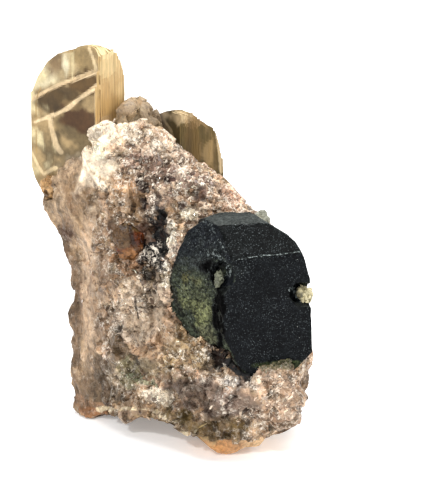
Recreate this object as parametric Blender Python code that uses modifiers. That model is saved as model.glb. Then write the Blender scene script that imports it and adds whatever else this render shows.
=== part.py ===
"""Triphylite specimen: a dark triphylite crystal on a quartz and feldspar matrix with two muscovite books.

Frame: metres, +Z up. -Y is the display side, which the triphylite crystal faces, and +X is to its right.
The origin is the middle of the footprint's box, on the surface that the specimen stands on. The lists
below hold millimetres in a drawing frame with the same axes, which centre_on_origin shifts at the end.

The matrix is lofted through level sections, roughened, hollowed underneath and cut flat where it rests.
A crystal or a grain is a raw block cut by its faces, and a muscovite book is a stack of leaf packets.
Each one is rooted in a socket, which the same shape grown by a small gap cuts in its host.
"""

import math

import bmesh
import bpy
from mathutils import Euler, Matrix, Vector, noise

MM = 0.001

# Driving dimensions, in metres.
SEAT_GAP = 0.3 * MM  # clearance between a crystal and its socket
BLOCK_SIZE = 80 * MM  # side of the raw block that a crystal's faces cut down
PACKET_OVERLAP = 0.06  # how far neighbouring mica packets reach into each other, in millimetres
LUMP_SPACING = 6.0 * MM  # coarse lumps of the broken matrix
LUMP_HEIGHT = 0.9 * MM
CHIP_SPACING = 2.2 * MM  # finer chips between them
CHIP_HEIGHT = 0.4 * MM
ROUGHNESS_OFFSET = Vector((3.1, 7.7, 1.9))  # picks one patch of the noise
MATRIX_SUBDIVISIONS = 2
LOBE_STEP = 0.04 * MM  # growth step between the main crystal's faces and those that its lobe shares

# Level sections of the matrix, lowest first: (height, its eight corners). The corners run anticlockwise
# from the edge between the display side and the left flank, and each joins the same one above it.
MATRIX_SECTIONS = (
    (-1.0, ((-4.2, -3.6), (3.0, -9.4), (9.2, -8.8), (10.6, -5.0),
            (11.0, 5.0), (4.0, 9.6), (-4.5, 9.0), (-9.8, 3.0))),
    (1.5, ((-4.8, -4.6), (3.2, -11.6), (10.6, -10.8), (13.0, -5.0),
           (12.6, 6.0), (4.5, 10.8), (-5.2, 10.2), (-11.4, 3.6))),
    (4.0, ((-5.0, -5.6), (3.8, -13.6), (12.2, -13.0), (15.0, -5.0),
           (13.4, 6.6), (4.8, 11.4), (-5.4, 10.8), (-11.9, 3.8))),
    (8.0, ((-5.0, -6.4), (4.2, -14.6), (12.8, -15.4), (15.7, -5.0),
           (13.8, 7.0), (5.0, 11.8), (-5.4, 11.2), (-12.1, 4.0))),
    (10.8, ((-5.1, -6.7), (3.8, -12.9), (13.2, -16.2), (15.6, -5.0),
            (13.6, 7.0), (5.0, 12.0), (-5.5, 11.4), (-12.1, 4.0))),
    (13.2, ((-5.2, -6.5), (3.6, -11.2), (13.2, -13.8), (15.2, -4.4),
            (13.2, 7.0), (5.0, 12.0), (-5.5, 11.4), (-11.6, 4.0))),
    (17.0, ((-5.4, -6.2), (3.4, -9.9), (11.6, -9.8), (14.0, -3.4),
            (12.4, 7.0), (4.6, 11.6), (-5.6, 11.2), (-11.7, 4.0))),
    (22.0, ((-5.8, -5.2), (2.8, -9.0), (9.6, -8.4), (12.0, -2.4),
            (10.4, 6.2), (4.0, 10.8), (-6.4, 10.6), (-13.4, 4.0))),
    (25.5, ((-6.2, -4.2), (2.0, -8.0), (7.6, -6.6), (9.6, -2.0),
            (7.6, 5.0), (3.4, 10.2), (-7.2, 10.0), (-15.2, 4.0))),
    (29.0, ((-6.8, -3.2), (0.6, -5.4), (3.8, -3.8), (4.8, -0.6),
            (3.8, 4.0), (0.6, 9.0), (-7.4, 9.2), (-12.8, 1.6))),
    (32.0, ((-7.2, -2.2), (-1.6, -3.4), (0.2, -2.0), (0.6, 0.2),
            (-0.4, 3.4), (-2.6, 7.6), (-7.6, 8.4), (-10.6, 0.6))),
    (34.8, ((-7.4, -0.8), (-4.0, -1.4), (-2.6, -0.6), (-2.0, 0.8),
            (-2.4, 3.4), (-4.0, 6.0), (-6.6, 6.6), (-8.6, 0.8))),
)

# The shallow hollow under the matrix, between its feet; its turn is in degrees.
HOLLOW_CENTRE = (-3.4, -5.6, 0.0)
HOLLOW_RADII = (9.0, 11.0, 1.4)
HOLLOW_TURN = -38.0

# Crystals cut by faces. Each face is (a point on it, the way that it looks).
FRONT_FACE = ((10.5, -15.0, 17.8), (0.06, -0.99, -0.09))
SLOPE_FACE = ((10.4, -14.5, 24.9), (-0.04, -0.71, 0.70))
CREST_FACE = ((7.5, -11.4, 27.0), (-0.06, -0.22, 0.97))
BEHIND_CREST_FACE = ((6.7, -9.5, 27.3), (0.02, 0.55, 0.84))
BLUE_BLACK_FACE = ((4.0, -12.5, 24.4), (-0.67, -0.65, 0.35))
MAIN_CRYSTAL_FACES = (
    FRONT_FACE,
    SLOPE_FACE,
    CREST_FACE,
    BEHIND_CREST_FACE,
    BLUE_BLACK_FACE,
    ((10.0, -11.7, 27.1), (0.53, 0.22, 0.82)),  # the narrow facets that round the right shoulder
    ((11.5, -12.9, 26.6), (0.55, 0.30, 0.78)),
    ((13.1, -13.9, 25.6), (0.71, 0.28, 0.65)),
    ((14.0, -14.9, 24.7), (0.88, 0.24, 0.40)),
    ((14.8, -15.2, 22.7), (0.96, 0.15, 0.26)),
    ((15.3, -14.7, 18.0), (0.99, 0.13, 0.05)),  # the right end
    ((15.1, -14.2, 12.3), (0.73, 0.02, -0.68)),
    ((5.4, -14.4, 17.5), (-0.96, -0.28, -0.06)),  # the step down to the left lobe
    ((6.6, -14.8, 12.8), (-0.90, -0.10, -0.42)),
    ((8.0, -14.5, 10.6), (-0.61, 0.10, -0.78)),
    ((10.0, -10.0, 9.6), (0.0, 0.0, -1.0)),
    ((9.0, -5.0, 20.0), (0.0, 1.0, 0.0)),  # the root
)
LEFT_LOBE_FACES = (
    ((3.3, -12.0, 19.9), (-0.65, -0.75, -0.13)),  # the greenish face
    FRONT_FACE,
    SLOPE_FACE,
    BLUE_BLACK_FACE,
    CREST_FACE,
    BEHIND_CREST_FACE,
    ((2.9, -10.4, 26.2), (-0.48, 0.30, 0.83)),  # the rounded left outline
    ((1.5, -9.9, 24.5), (-0.85, 0.26, 0.46)),
    ((0.4, -9.8, 21.6), (-0.95, 0.15, 0.28)),
    ((-0.1, -8.8, 18.1), (-0.99, 0.15, 0.05)),
    ((0.6, -8.9, 15.2), (-0.69, 0.31, -0.65)),
    ((4.0, -11.0, 13.0), (0.0, 0.20, -0.98)),
    ((6.3, -9.0, 18.0), (1.0, 0.0, 0.0)),  # buried in the main crystal
    ((5.0, -5.5, 18.0), (0.0, 1.0, 0.0)),
)
SMOKY_QUARTZ_FACES = (
    ((-4.6, 2.4, 37.3), (-0.15, -0.25, 0.95)),
    ((-3.4, 2.2, 36.8), (0.50, -0.20, 0.84)),
    ((-2.3, 2.2, 35.4), (0.83, -0.20, 0.52)),
    ((-1.4, 2.4, 33.8), (0.95, -0.20, 0.20)),
    ((-3.4, 0.8, 34.0), (0.10, -0.96, 0.26)),
    ((-2.0, 1.0, 33.0), (0.62, -0.77, 0.10)),
    ((-3.0, 5.6, 35.0), (0.20, 0.90, 0.38)),
    ((-5.1, 3.0, 34.0), (-0.86, 0.50, 0.00)),  # along the pale book's rim
    ((0.4, 2.1, 34.0), (0.80, 0.60, 0.00)),  # along the olive book's near leaf
    ((-3.0, 3.0, 31.0), (0.0, 0.0, -1.0)),
)
FELDSPAR_FOOT_FACES = (
    ((5.1, -12.5, 1.8), (0.0, -0.98, 0.20)),
    ((5.1, -11.6, 0.3), (0.0, -0.75, -0.66)),
    ((2.2, -10.3, 0.0), (-0.88, -0.45, -0.15)),
    ((9.0, -10.3, 0.0), (0.52, -0.74, -0.42)),
    ((10.9, -8.2, 0.0), (0.90, -0.20, -0.38)),
    ((6.0, -12.0, 2.7), (0.0, -0.30, 0.95)),
    ((6.0, -6.0, 0.5), (0.0, 1.0, 0.0)),
    ((4.0, -9.0, 0.0), (0.0, 0.0, -1.0)),
)

# Grains as rounded blocks: (middle, radii, turn in degrees about X, Y and Z, seed of its face distances).
QUARTZ_KNOB = ((10.2, -7.6, 25.9), (1.3, 1.4, 1.5), (20, 15, 0), 2)
RUSTY_FELDSPAR = ((-4.3, -4.8, 22.5), (1.9, 1.6, 2.3), (0, -28, 20), 5)
TAN_FELDSPAR = ((-14.4, 3.4, 26.9), (1.3, 1.3, 1.3), (10, 30, 15), 7)
NOTCH_GRAIN = ((14.3, -14.0, 19.3), (1.3, 1.2, 0.9), (0, 25, 0), 3)
PIT_GRAIN = ((5.3, -13.9, 21.0), (0.7, 0.9, 1.1), (0, 10, 0), 4)
CORNER_PIT = ((5.5, -14.8, 21.6), (1.5, 1.5, 1.9), (0, 12, 0), 6)  # cut in the crystal, around its grain
RIGHT_NOTCH = ((15.2, -14.9, 19.5), (2.1, 1.5, 1.1), (0, 12, 0), 8)
GRAIN_FACES = 18
GRAIN_UNEVENNESS = 0.16  # share by which a face's distance from the middle varies
GOLDEN_ANGLE = math.pi * (3.0 - math.sqrt(5.0))

# Muscovite books: (foot of the near upright edge, the way that the leaves run from it, leaf outline as
# (along, height), packets as (start, end, highest point, furthest point along, how far the rim stands
# in)). A book thickens at right angles to its leaves, away from the display side.
PALE_BOOK_EDGE = (-8.4, -0.5, 0.0)
PALE_BOOK_RUN = (-0.819, 0.574, 0.0)
PALE_BOOK_LEAF = ((0.0, 25.5), (0.0, 42.6), (0.5, 43.4), (1.6, 43.6), (3.2, 43.0), (5.2, 41.6),
                  (7.6, 39.3), (9.0, 37.2), (9.6, 34.4), (9.6, 31.2), (9.0, 28.8), (6.6, 26.0))
PALE_BOOK_PACKETS = (
    (0.0, 0.8, 42.9, 9.6, 0.12),
    (0.8, 2.0, 43.5, 9.3, 0.00),
    (2.0, 3.2, 43.6, 9.5, 0.08),
    (3.2, 4.2, 42.7, 9.0, 0.22),
    (4.2, 5.0, 41.4, 8.2, 0.10),
    (5.0, 5.7, 38.6, 7.0, 0.30),
)
OLIVE_BOOK_EDGE = (0.9, 2.5, 0.0)
OLIVE_BOOK_RUN = (-0.60, 0.80, 0.0)
OLIVE_BOOK_LEAF = ((0.0, 24.6), (0.0, 34.9), (0.7, 35.6), (2.6, 35.6), (4.2, 34.6), (5.4, 32.0),
                   (5.6, 27.0), (3.2, 23.6))
OLIVE_BOOK_PACKETS = (
    (0.0, 1.4, 35.5, 5.7, 0.00),
    (1.4, 2.9, 35.1, 5.5, 0.14),
    (2.9, 4.0, 34.3, 5.4, 0.04),
    (4.0, 5.0, 33.0, 5.2, 0.20),
    (5.0, 5.8, 31.2, 4.8, 0.08),
    (5.8, 6.3, 28.4, 4.2, 0.26),
)

PALE_BOOK = (PALE_BOOK_EDGE, PALE_BOOK_RUN, PALE_BOOK_LEAF, PALE_BOOK_PACKETS)
OLIVE_BOOK = (OLIVE_BOOK_EDGE, OLIVE_BOOK_RUN, OLIVE_BOOK_LEAF, OLIVE_BOOK_PACKETS)

# Materials: name: (base colour, roughness).
MATERIALS = {
    "quartz_feldspar": ((0.47, 0.38, 0.31), 0.45),
    "triphylite": ((0.022, 0.026, 0.028), 0.35),
    "pale_muscovite": ((0.48, 0.36, 0.19), 0.30),
    "olive_muscovite": ((0.24, 0.17, 0.08), 0.30),
    "smoky_quartz": ((0.36, 0.28, 0.20), 0.20),
    "tan_feldspar": ((0.55, 0.36, 0.20), 0.45),
    "rusty_feldspar": ((0.20, 0.10, 0.05), 0.40),
    "clear_quartz": ((0.42, 0.44, 0.36), 0.15),
    "pale_green_phosphate": ((0.50, 0.48, 0.34), 0.35),
}


def vector_mm(values):
    """A vector written in millimetres, in metres."""
    return Vector(values) * MM


def clear_scene():
    """Removes every object that the file starts with."""
    for thing in list(bpy.data.objects):
        bpy.data.objects.remove(thing)


def new_collection(name):
    """A collection linked to the scene."""
    made = bpy.data.collections.new(name)
    bpy.context.scene.collection.children.link(made)
    return made


def new_material(name, colour, roughness):
    """A plain Principled material."""
    made = bpy.data.materials.new(name)
    made.use_nodes = True
    shader = made.node_tree.nodes["Principled BSDF"]
    shader.inputs["Base Color"].default_value = (*colour, 1.0)
    shader.inputs["Roughness"].default_value = roughness
    shader.inputs["Metallic"].default_value = 0.0
    return made


def object_from(bm, name, collection):
    """A new object in the collection that holds the bmesh, which is freed."""
    bmesh.ops.recalc_face_normals(bm, faces=bm.faces)
    mesh = bpy.data.meshes.new(name)
    bm.to_mesh(mesh)
    bm.free()
    made = bpy.data.objects.new(name, mesh)
    collection.objects.link(made)
    return made


def hide_helper(helper):
    """Keeps a cutter out of renders and out of the model."""
    helper.hide_render = True
    helper.display_type = "WIRE"
    return helper


def bake_modifiers(target):
    """Replaces the object's mesh with its evaluated one."""
    graph = bpy.context.evaluated_depsgraph_get()
    made = bpy.data.meshes.new_from_object(target.evaluated_get(graph))
    target.modifiers.clear()
    target.data = made


def apply_boolean(target, other, operation):
    """Cuts or joins the target's mesh with the other object, and leaves no modifier."""
    modifier = target.modifiers.new(operation.lower(), "BOOLEAN")
    modifier.operation = operation
    modifier.solver = "EXACT"
    modifier.object = other
    bake_modifiers(target)


def cut_and_fill(bm, point, normal):
    """Removes what lies beyond the plane and closes the cut with flat faces."""
    everything = bm.verts[:] + bm.edges[:] + bm.faces[:]
    cut = bmesh.ops.bisect_plane(
        bm, geom=everything, plane_co=point, plane_no=normal, clear_outer=True, dist=1e-7
    )
    rim = [item for item in cut["geom_cut"] if isinstance(item, bmesh.types.BMEdge)]
    if rim:
        bmesh.ops.contextual_create(bm, geom=rim)


def faceted_bmesh(faces, grow=0.0):
    """A raw block cut by each (point, normal), with every face moved outwards by grow."""
    bm = bmesh.new()
    middle = sum((vector_mm(point) for point, _ in faces), Vector()) / len(faces)
    bmesh.ops.create_cube(bm, size=BLOCK_SIZE, matrix=Matrix.Translation(middle))
    for point, normal in faces:
        outwards = Vector(normal).normalized()
        cut_and_fill(bm, vector_mm(point) + outwards * grow, outwards)
    return bm


def grain_faces(middle, radii, turn, seed):
    """The faces of a rounded, uneven grain, as faceted_bmesh takes them."""
    rotation = Euler([math.radians(angle) for angle in turn]).to_matrix()
    faces = []
    for n in range(GRAIN_FACES):
        height = 1.0 - 2.0 * (n + 0.5) / GRAIN_FACES
        ring = math.sqrt(1.0 - height * height)
        angle = n * GOLDEN_ANGLE + seed
        direction = Vector((ring * math.cos(angle), ring * math.sin(angle), height))
        share = 1.0 + GRAIN_UNEVENNESS * noise.noise(direction * 2.0 + Vector((seed, 0.5, 0.5)))
        point = Vector(d * r * share for d, r in zip(direction, radii))
        normal = Vector(d / r for d, r in zip(direction, radii))
        faces.append((Vector(middle) + rotation @ point, rotation @ normal))
    return faces


def make_matrix(collection, cutters):
    """The quartz and feldspar matrix, before its sockets are cut."""
    bm = bmesh.new()
    rings = []
    for height, corners in MATRIX_SECTIONS:
        rings.append([bm.verts.new(vector_mm((*corner, height))) for corner in corners])
    for lower, upper in zip(rings, rings[1:]):
        for n in range(len(lower)):
            m = (n + 1) % len(lower)
            bm.faces.new((lower[n], lower[m], upper[m], upper[n]))
    caps = [bm.faces.new(reversed(rings[0])), bm.faces.new(rings[-1])]
    bmesh.ops.triangulate(bm, faces=caps)
    body = object_from(bm, "quartz_feldspar_matrix", collection)
    facets = body.modifiers.new("facets", "SUBSURF")
    facets.subdivision_type = "SIMPLE"
    facets.levels = facets.render_levels = MATRIX_SUBDIVISIONS
    bake_modifiers(body)
    roughen_and_level(body)
    apply_boolean(body, make_hollow(cutters), "DIFFERENCE")
    return body


def roughen_and_level(body):
    """Moves each vertex along its normal by the lumps and chips there, then cuts the feet flat."""
    bm = bmesh.new()
    bm.from_mesh(body.data)
    bm.normal_update()
    moves = []
    for vertex in bm.verts:
        lump = noise.noise(vertex.co / LUMP_SPACING + ROUGHNESS_OFFSET)
        chip = noise.noise(vertex.co / CHIP_SPACING - ROUGHNESS_OFFSET)
        moves.append(vertex.normal * (LUMP_HEIGHT * lump + CHIP_HEIGHT * chip))
    for vertex, move in zip(bm.verts, moves):
        vertex.co += move
    cut_and_fill(bm, Vector((0, 0, 0)), Vector((0, 0, -1)))
    bm.to_mesh(body.data)
    bm.free()


def make_hollow(cutters):
    """The flat ellipsoid that hollows the underside between the feet."""
    bm = bmesh.new()
    size = Matrix.Diagonal((*vector_mm(HOLLOW_RADII), 1.0))
    turn = Matrix.Rotation(math.radians(HOLLOW_TURN), 4, "Z")
    place = Matrix.Translation(vector_mm(HOLLOW_CENTRE)) @ turn @ size
    bmesh.ops.create_uvsphere(bm, u_segments=24, v_segments=12, radius=1.0, matrix=place)
    return hide_helper(object_from(bm, "underside_hollow", cutters))


def make_triphylite(collection, cutters, grow=0.0, name="triphylite_crystal"):
    """The main crystal with its left lobe grown into it, as one solid."""
    crystal = object_from(faceted_bmesh(MAIN_CRYSTAL_FACES, grow), name, collection)
    lobe = hide_helper(object_from(faceted_bmesh(LEFT_LOBE_FACES, grow - LOBE_STEP), name + "_lobe", cutters))
    apply_boolean(crystal, lobe, "UNION")
    return crystal


def packet_faces(edge, run, leaf, packet):
    """The faces of one packet of mica leaves: the leaf's rim, the packet's reach and its two flat sides."""
    start, end, highest, furthest, inset = packet
    run, up = Vector(run).normalized(), Vector((0, 0, 1))
    thickening = run.cross(up)
    edge = Vector(edge)
    faces = []
    for here, following in zip(leaf, leaf[1:] + leaf[:1]):
        outwards = (up * (following[0] - here[0]) - run * (following[1] - here[1])).normalized()
        faces.append((edge + run * here[0] + up * here[1] - outwards * inset, outwards))
    faces.append((edge + up * highest, up))
    faces.append((edge + run * furthest + up * leaf[0][1], run))
    faces.append((edge + thickening * (start - PACKET_OVERLAP / 2) + up * leaf[0][1], -thickening))
    faces.append((edge + thickening * (end + PACKET_OVERLAP / 2) + up * leaf[0][1], thickening))
    return faces


def make_book(name, edge, run, leaf, packets, collection, cutters, grow=0.0):
    """A muscovite book: its packets joined in one solid."""
    book = object_from(faceted_bmesh(packet_faces(edge, run, leaf, packets[0]), grow), name, collection)
    for n, packet in enumerate(packets[1:]):
        bm = faceted_bmesh(packet_faces(edge, run, leaf, packet), grow)
        apply_boolean(book, hide_helper(object_from(bm, f"{name}_packet_{n}", cutters)), "UNION")
    return book


def centre_on_origin(pieces):
    """Moves the pieces so that the middle of their footprint's box is the origin."""
    places = [vertex.co for piece in pieces for vertex in piece.data.vertices]
    middle_x = (min(p.x for p in places) + max(p.x for p in places)) / 2
    middle_y = (min(p.y for p in places) + max(p.y for p in places)) / 2
    for piece in pieces:
        piece.data.transform(Matrix.Translation((-middle_x, -middle_y, 0.0)))


def paint(piece, material):
    """Gives the piece its one material, on every face."""
    piece.data.materials.clear()
    piece.data.materials.append(material)
    for face in piece.data.polygons:
        face.material_index = 0
        face.use_smooth = False


def cut_away(host, name, faces, cutters, grow=0.0):
    """Cuts the faceted shape, grown by the given distance, out of the host."""
    shape = object_from(faceted_bmesh(faces, grow), name, cutters)
    apply_boolean(host, hide_helper(shape), "DIFFERENCE")


def main():
    """Builds the pieces, the sockets that hold them and the materials."""
    clear_scene()
    specimen = new_collection("triphylite_specimen")
    cutters = new_collection("cutters")
    materials = {name: new_material(name, *look) for name, look in MATERIALS.items()}

    matrix = make_matrix(specimen, cutters)
    crystal = make_triphylite(specimen, cutters)
    crystal_socket = make_triphylite(cutters, cutters, SEAT_GAP, "triphylite_socket")
    apply_boolean(matrix, hide_helper(crystal_socket), "DIFFERENCE")
    cut_away(crystal, "corner_pit", grain_faces(*CORNER_PIT), cutters)
    cut_away(crystal, "right_notch", grain_faces(*RIGHT_NOTCH), cutters)
    finishes = {matrix: "quartz_feldspar", crystal: "triphylite"}

    books = []
    for name, finish, book in (
        ("pale_muscovite_book", "pale_muscovite", PALE_BOOK),
        ("olive_muscovite_book", "olive_muscovite", OLIVE_BOOK),
    ):
        books.append(make_book(name, *book, specimen, cutters))
        finishes[books[-1]] = finish
        socket = make_book(f"{name}_socket", *book, cutters, cutters, SEAT_GAP)
        apply_boolean(matrix, hide_helper(socket), "DIFFERENCE")

    for name, finish, faces, hosts in (
        ("smoky_quartz", "smoky_quartz", SMOKY_QUARTZ_FACES, (matrix,)),
        ("feldspar_foot", "tan_feldspar", FELDSPAR_FOOT_FACES, (matrix,)),
        ("quartz_knob", "clear_quartz", grain_faces(*QUARTZ_KNOB), (matrix, crystal)),
        ("rusty_feldspar", "rusty_feldspar", grain_faces(*RUSTY_FELDSPAR), (matrix,)),
        ("tan_feldspar", "tan_feldspar", grain_faces(*TAN_FELDSPAR), (matrix, books[0])),
        ("notch_grain", "pale_green_phosphate", grain_faces(*NOTCH_GRAIN), (crystal,)),
        ("pit_grain", "pale_green_phosphate", grain_faces(*PIT_GRAIN), (crystal,)),
    ):
        for host in hosts:
            cut_away(host, f"{name}_socket", faces, cutters, SEAT_GAP)
        finishes[object_from(faceted_bmesh(faces), name, specimen)] = finish

    for piece, finish in finishes.items():
        paint(piece, materials[finish])
    centre_on_origin(list(finishes))


main()
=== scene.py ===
"""Looks of a triphylite specimen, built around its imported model.

Each class is one part of the specimen: the broken rock, its loose grains, the dark crystal, the books of
muscovite and the small crystals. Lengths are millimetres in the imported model's frame, where +Z is up and -Y
is the display side; MM turns them into metres. Colours are display values between 0 and 255. A salt is any
whole number that picks one of many patterns.
"""

import logging
import math
from dataclasses import dataclass
from enum import Enum
from typing import Any

import bpy
import numpy as np
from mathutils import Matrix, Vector
from mathutils.bvhtree import BVHTree


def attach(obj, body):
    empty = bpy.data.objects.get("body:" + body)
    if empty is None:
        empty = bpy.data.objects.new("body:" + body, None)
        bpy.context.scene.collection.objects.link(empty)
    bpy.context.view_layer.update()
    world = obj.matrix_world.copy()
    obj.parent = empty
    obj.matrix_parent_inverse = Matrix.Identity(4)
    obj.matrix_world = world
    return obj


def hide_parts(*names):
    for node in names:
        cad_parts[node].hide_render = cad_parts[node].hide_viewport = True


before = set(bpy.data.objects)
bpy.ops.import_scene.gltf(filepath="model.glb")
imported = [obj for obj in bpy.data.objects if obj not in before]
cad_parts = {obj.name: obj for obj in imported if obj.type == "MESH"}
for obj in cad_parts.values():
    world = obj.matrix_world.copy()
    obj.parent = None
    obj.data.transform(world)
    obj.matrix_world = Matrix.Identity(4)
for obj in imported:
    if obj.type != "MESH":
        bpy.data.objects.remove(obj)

LOG = logging.getLogger("triphylite_specimen")
MM = 0.001
BODY = "root"
CELL_PRIMES = np.array((73856093, 19349663, 83492791))
Vec3 = tuple[float, float, float]
Colour = tuple[float, float, float]
Curve = tuple[tuple[float, ...], tuple[float, ...]]
Array = np.ndarray
Piece = bpy.types.Object
Mesh = bpy.types.Mesh
Material = bpy.types.Material
WHITE = (255, 255, 255)
# A near-black for painted shadow on the crystal.
SHADOW_BLACK = (3.2946, 3.2946, 3.2946)


def linear(*colours: Colour) -> Array:
    """Returns the linear values of some colours, one to a row."""
    shares = np.array(colours) / 255
    return np.where(shares > 0.04, ((shares + 0.055) / 1.055) ** 2.4, shares / 12.92)


# ---- patterns on arrays of points


def cell_random(cells: Array, salt: int) -> Array:
    """Gives each whole-number cell its own repeatable random number.

    Args:
        cells: Whole numbers, three to a row.
        salt: Picks one of many independent sets of numbers.

    Returns:
        A number between 0 and 1 for each row.
    """
    x, y, z = (cells * CELL_PRIMES).T
    mixed = x ^ y ^ z ^ (salt * 668265263)
    mixed = (mixed ^ (mixed >> 13)) * 1274126177
    mixed = mixed ^ (mixed >> 16)
    return (mixed & 0xFFFFFF) / float(0x1000000)


def soft_noise(points: Array, size: float, salt: int, octaves: int = 1) -> Array:
    """Smooth noise.

    Args:
        points: Places, three coordinates to a row.
        size: Spacing of the coarsest waves, in the points' unit.
        salt: Picks the pattern.
        octaves: How many finer layers are added, each half as large.

    Returns:
        A number between about -1 and 1 for each row.
    """
    total = np.zeros(len(points))
    for octave in range(octaves):
        scaled = points / (size / 2**octave) + 17.3 * octave
        base = np.floor(scaled).astype(np.int64)
        share = scaled - base
        share = share * share * (3 - 2 * share)
        for corner in np.ndindex(2, 2, 2):
            weight = np.prod(np.where(np.array(corner, bool), share, 1 - share), axis=1)
            total += weight * (cell_random(base + np.array(corner), salt + octave) * 2 - 1) * 0.5**octave
    return total


@dataclass
class Cells:
    """The crystal cells that some points fall in.

    Attributes:
        key: Whole numbers that name each point's cell.
        offset: From the cell's seed to the point.
        rim: How far the point is from its cell's rim, as a share of the cell's size.
    """

    key: Array
    offset: Array
    rim: Array

    def random(self, salt: int) -> Array:
        """Returns each cell's own random number between 0 and 1."""
        return cell_random(self.key, salt)


def find_cells(points: Array, size: float, salt: int) -> Cells:
    """Divides space into uneven cells, as grains fill a rock.

    Args:
        points: Places, three coordinates to a row.
        size: The cells' mean size.
        salt: Picks the pattern.

    Returns:
        The cell of each point.
    """
    scaled = points / size
    base = np.floor(scaled).astype(np.int64)
    nearest = np.full(len(points), np.inf)
    second = np.full(len(points), np.inf)
    key = np.zeros((len(points), 3), np.int64)
    offset = np.zeros((len(points), 3))
    for step in np.ndindex(3, 3, 3):
        cell = base + np.array(step) - 1
        seed = cell + np.stack([cell_random(cell, salt + k) for k in range(3)], axis=1)
        apart = scaled - seed
        distance = np.sqrt((apart**2).sum(axis=1))
        closer = distance < nearest
        second = np.where(closer, nearest, np.minimum(second, distance))
        nearest = np.where(closer, distance, nearest)
        key[closer] = cell[closer]
        offset[closer] = (apart * size)[closer]
    return Cells(key, offset, second - nearest)


def facet_height(cells: Cells, step: float, slope: float, salt: int) -> Array:
    """The height of flat broken facets, one to a cell, each at its own level and tilt.

    Args:
        cells: The cells of the points.
        step: Largest level of a facet above or below the mean.
        slope: Steepness of the facets.
        salt: Picks the levels and tilts.

    Returns:
        The height at each point.
    """
    tilt = np.stack([cells.random(salt + k) for k in range(3)], axis=1) * 2 - 1
    return step * (cells.random(salt + 3) * 2 - 1) + slope * (cells.offset * tilt).sum(axis=1)


def ease(value: Array, low: float, high: float) -> Array:
    """Returns a smooth 0 to 1 as the value goes from low to high."""
    share = np.clip((value - low) / (high - low), 0, 1)
    return share * share * (3 - 2 * share)


@dataclass(frozen=True)
class Patch:
    """A ragged patch of another colour.

    Attributes:
        middle: Its middle, in millimetres.
        radii: Its reach along X, Y and Z, in millimetres.
        colour: Its colour.
        amount: How much of the colour it takes, up to 1.
        sparkle: How many painted glints, as pale chips and rims, its grains have, up to 1.
        depth: How far its surface is sunk, in millimetres.
        blur: How softly it ends, as a share of its reach.
    """

    middle: Vec3
    radii: Vec3
    colour: Colour = WHITE
    amount: float = 1.0
    sparkle: float = 0.4
    depth: float = 0.0
    blur: float = 0.45

    def weight(self, points: Array, ragged: Array | float) -> Array:
        """How strongly the patch covers some points.

        Args:
            points: Places in millimetres.
            ragged: Noise that moves the patch's rim.

        Returns:
            Between 0 and 1 for each point.
        """
        reach = np.sqrt((((points - self.middle) / self.radii) ** 2).sum(axis=1))
        return ease(-(reach + self.blur * ragged), -1.15, self.blur - 1.15)


@dataclass(frozen=True)
class Stroke:
    """A ragged line of another colour, drawn straight through the piece along Y.

    Attributes:
        path: The X and Z that it runs through, in millimetres.
        width: Its width, in millimetres.
        far: The Y beyond which it isn't drawn; the rest is as in a patch.
    """

    path: tuple[tuple[float, float], ...]
    width: float
    colour: Colour = WHITE
    amount: float = 1.0
    sparkle: float = 0.4
    depth: float = 0.0
    far: float = 99.0

    def weight(self, points: Array, ragged: Array | float) -> Array:
        """How strongly the line covers some points.

        Args:
            points: Places in millimetres.
            ragged: Noise that moves the line's rims.

        Returns:
            Between 0 and 1 for each point.
        """
        flat = points[:, [0, 2]]
        nearest = np.full(len(points), np.inf)
        for start, end in zip(self.path, self.path[1:]):
            along = np.subtract(end, start)
            share = np.clip((flat - start) @ along / (along @ along), 0, 1)
            apart = np.linalg.norm(flat - start - share[:, None] * along, axis=1)
            nearest = np.minimum(nearest, apart)
        return ease(-(nearest / self.width + 0.5 * ragged), -0.75, -0.3) * (points[:, 1] < self.far)


Marks = tuple[Patch | Stroke, ...]


def blend_patches(points: Array, base: Array, patches: Marks, ragged: Array) -> Array:
    """Lays patches over base colours in turn.

    Args:
        points: Places in millimetres.
        base: A colour for each place.
        patches: The patches, the last on top.
        ragged: Noise that moves the patches' rims.

    Returns:
        A colour for each place.
    """
    colours = base
    for patch in patches:
        weight = (patch.weight(points, ragged) * patch.amount)[:, None]
        colours = colours * (1 - weight) + linear(patch.colour) * weight
    return colours


# ---- modelling helpers


def pick_only(piece: Piece) -> None:
    """Selects a piece alone and makes it active.

    Args:
        piece: The piece.
    """
    bpy.ops.object.select_all(action="DESELECT")
    piece.select_set(True)
    bpy.context.view_layer.objects.active = piece


def apply_modifier(piece: Piece, kind: str, **settings: Any) -> None:
    """Adds a modifier and applies it.

    Args:
        piece: The piece to change.
        kind: The modifier's type.
        **settings: Its settings.
    """
    pick_only(piece)
    modifier = piece.modifiers.new(kind.lower(), kind)
    for name, value in settings.items():
        setattr(modifier, name, value)
    bpy.ops.object.modifier_apply(modifier=modifier.name)


def remesh(piece: Piece, voxel: float) -> None:
    """Rebuilds a piece's mesh with even faces of a size in millimetres."""
    apply_modifier(piece, "REMESH", mode="VOXEL", voxel_size=voxel * MM)


def copy_of_node(node: str, name: str, voxel: float) -> Piece:
    """An even, closed copy of a node's mesh, to be shaped further.

    Args:
        node: The node's name.
        name: The new piece's name.
        voxel: The size of its faces, in millimetres.

    Returns:
        The new piece.
    """
    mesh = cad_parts[node].data.copy()
    mesh.materials.clear()
    mesh.name = name
    piece = bpy.data.objects.new(name, mesh)
    bpy.context.scene.collection.objects.link(piece)
    pick_only(piece)
    bpy.ops.object.mode_set(mode="EDIT")
    bpy.ops.mesh.select_all(action="SELECT")
    bpy.ops.mesh.remove_doubles(threshold=0.001 * MM)
    bpy.ops.object.mode_set(mode="OBJECT")
    remesh(piece, voxel)
    return piece


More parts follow.
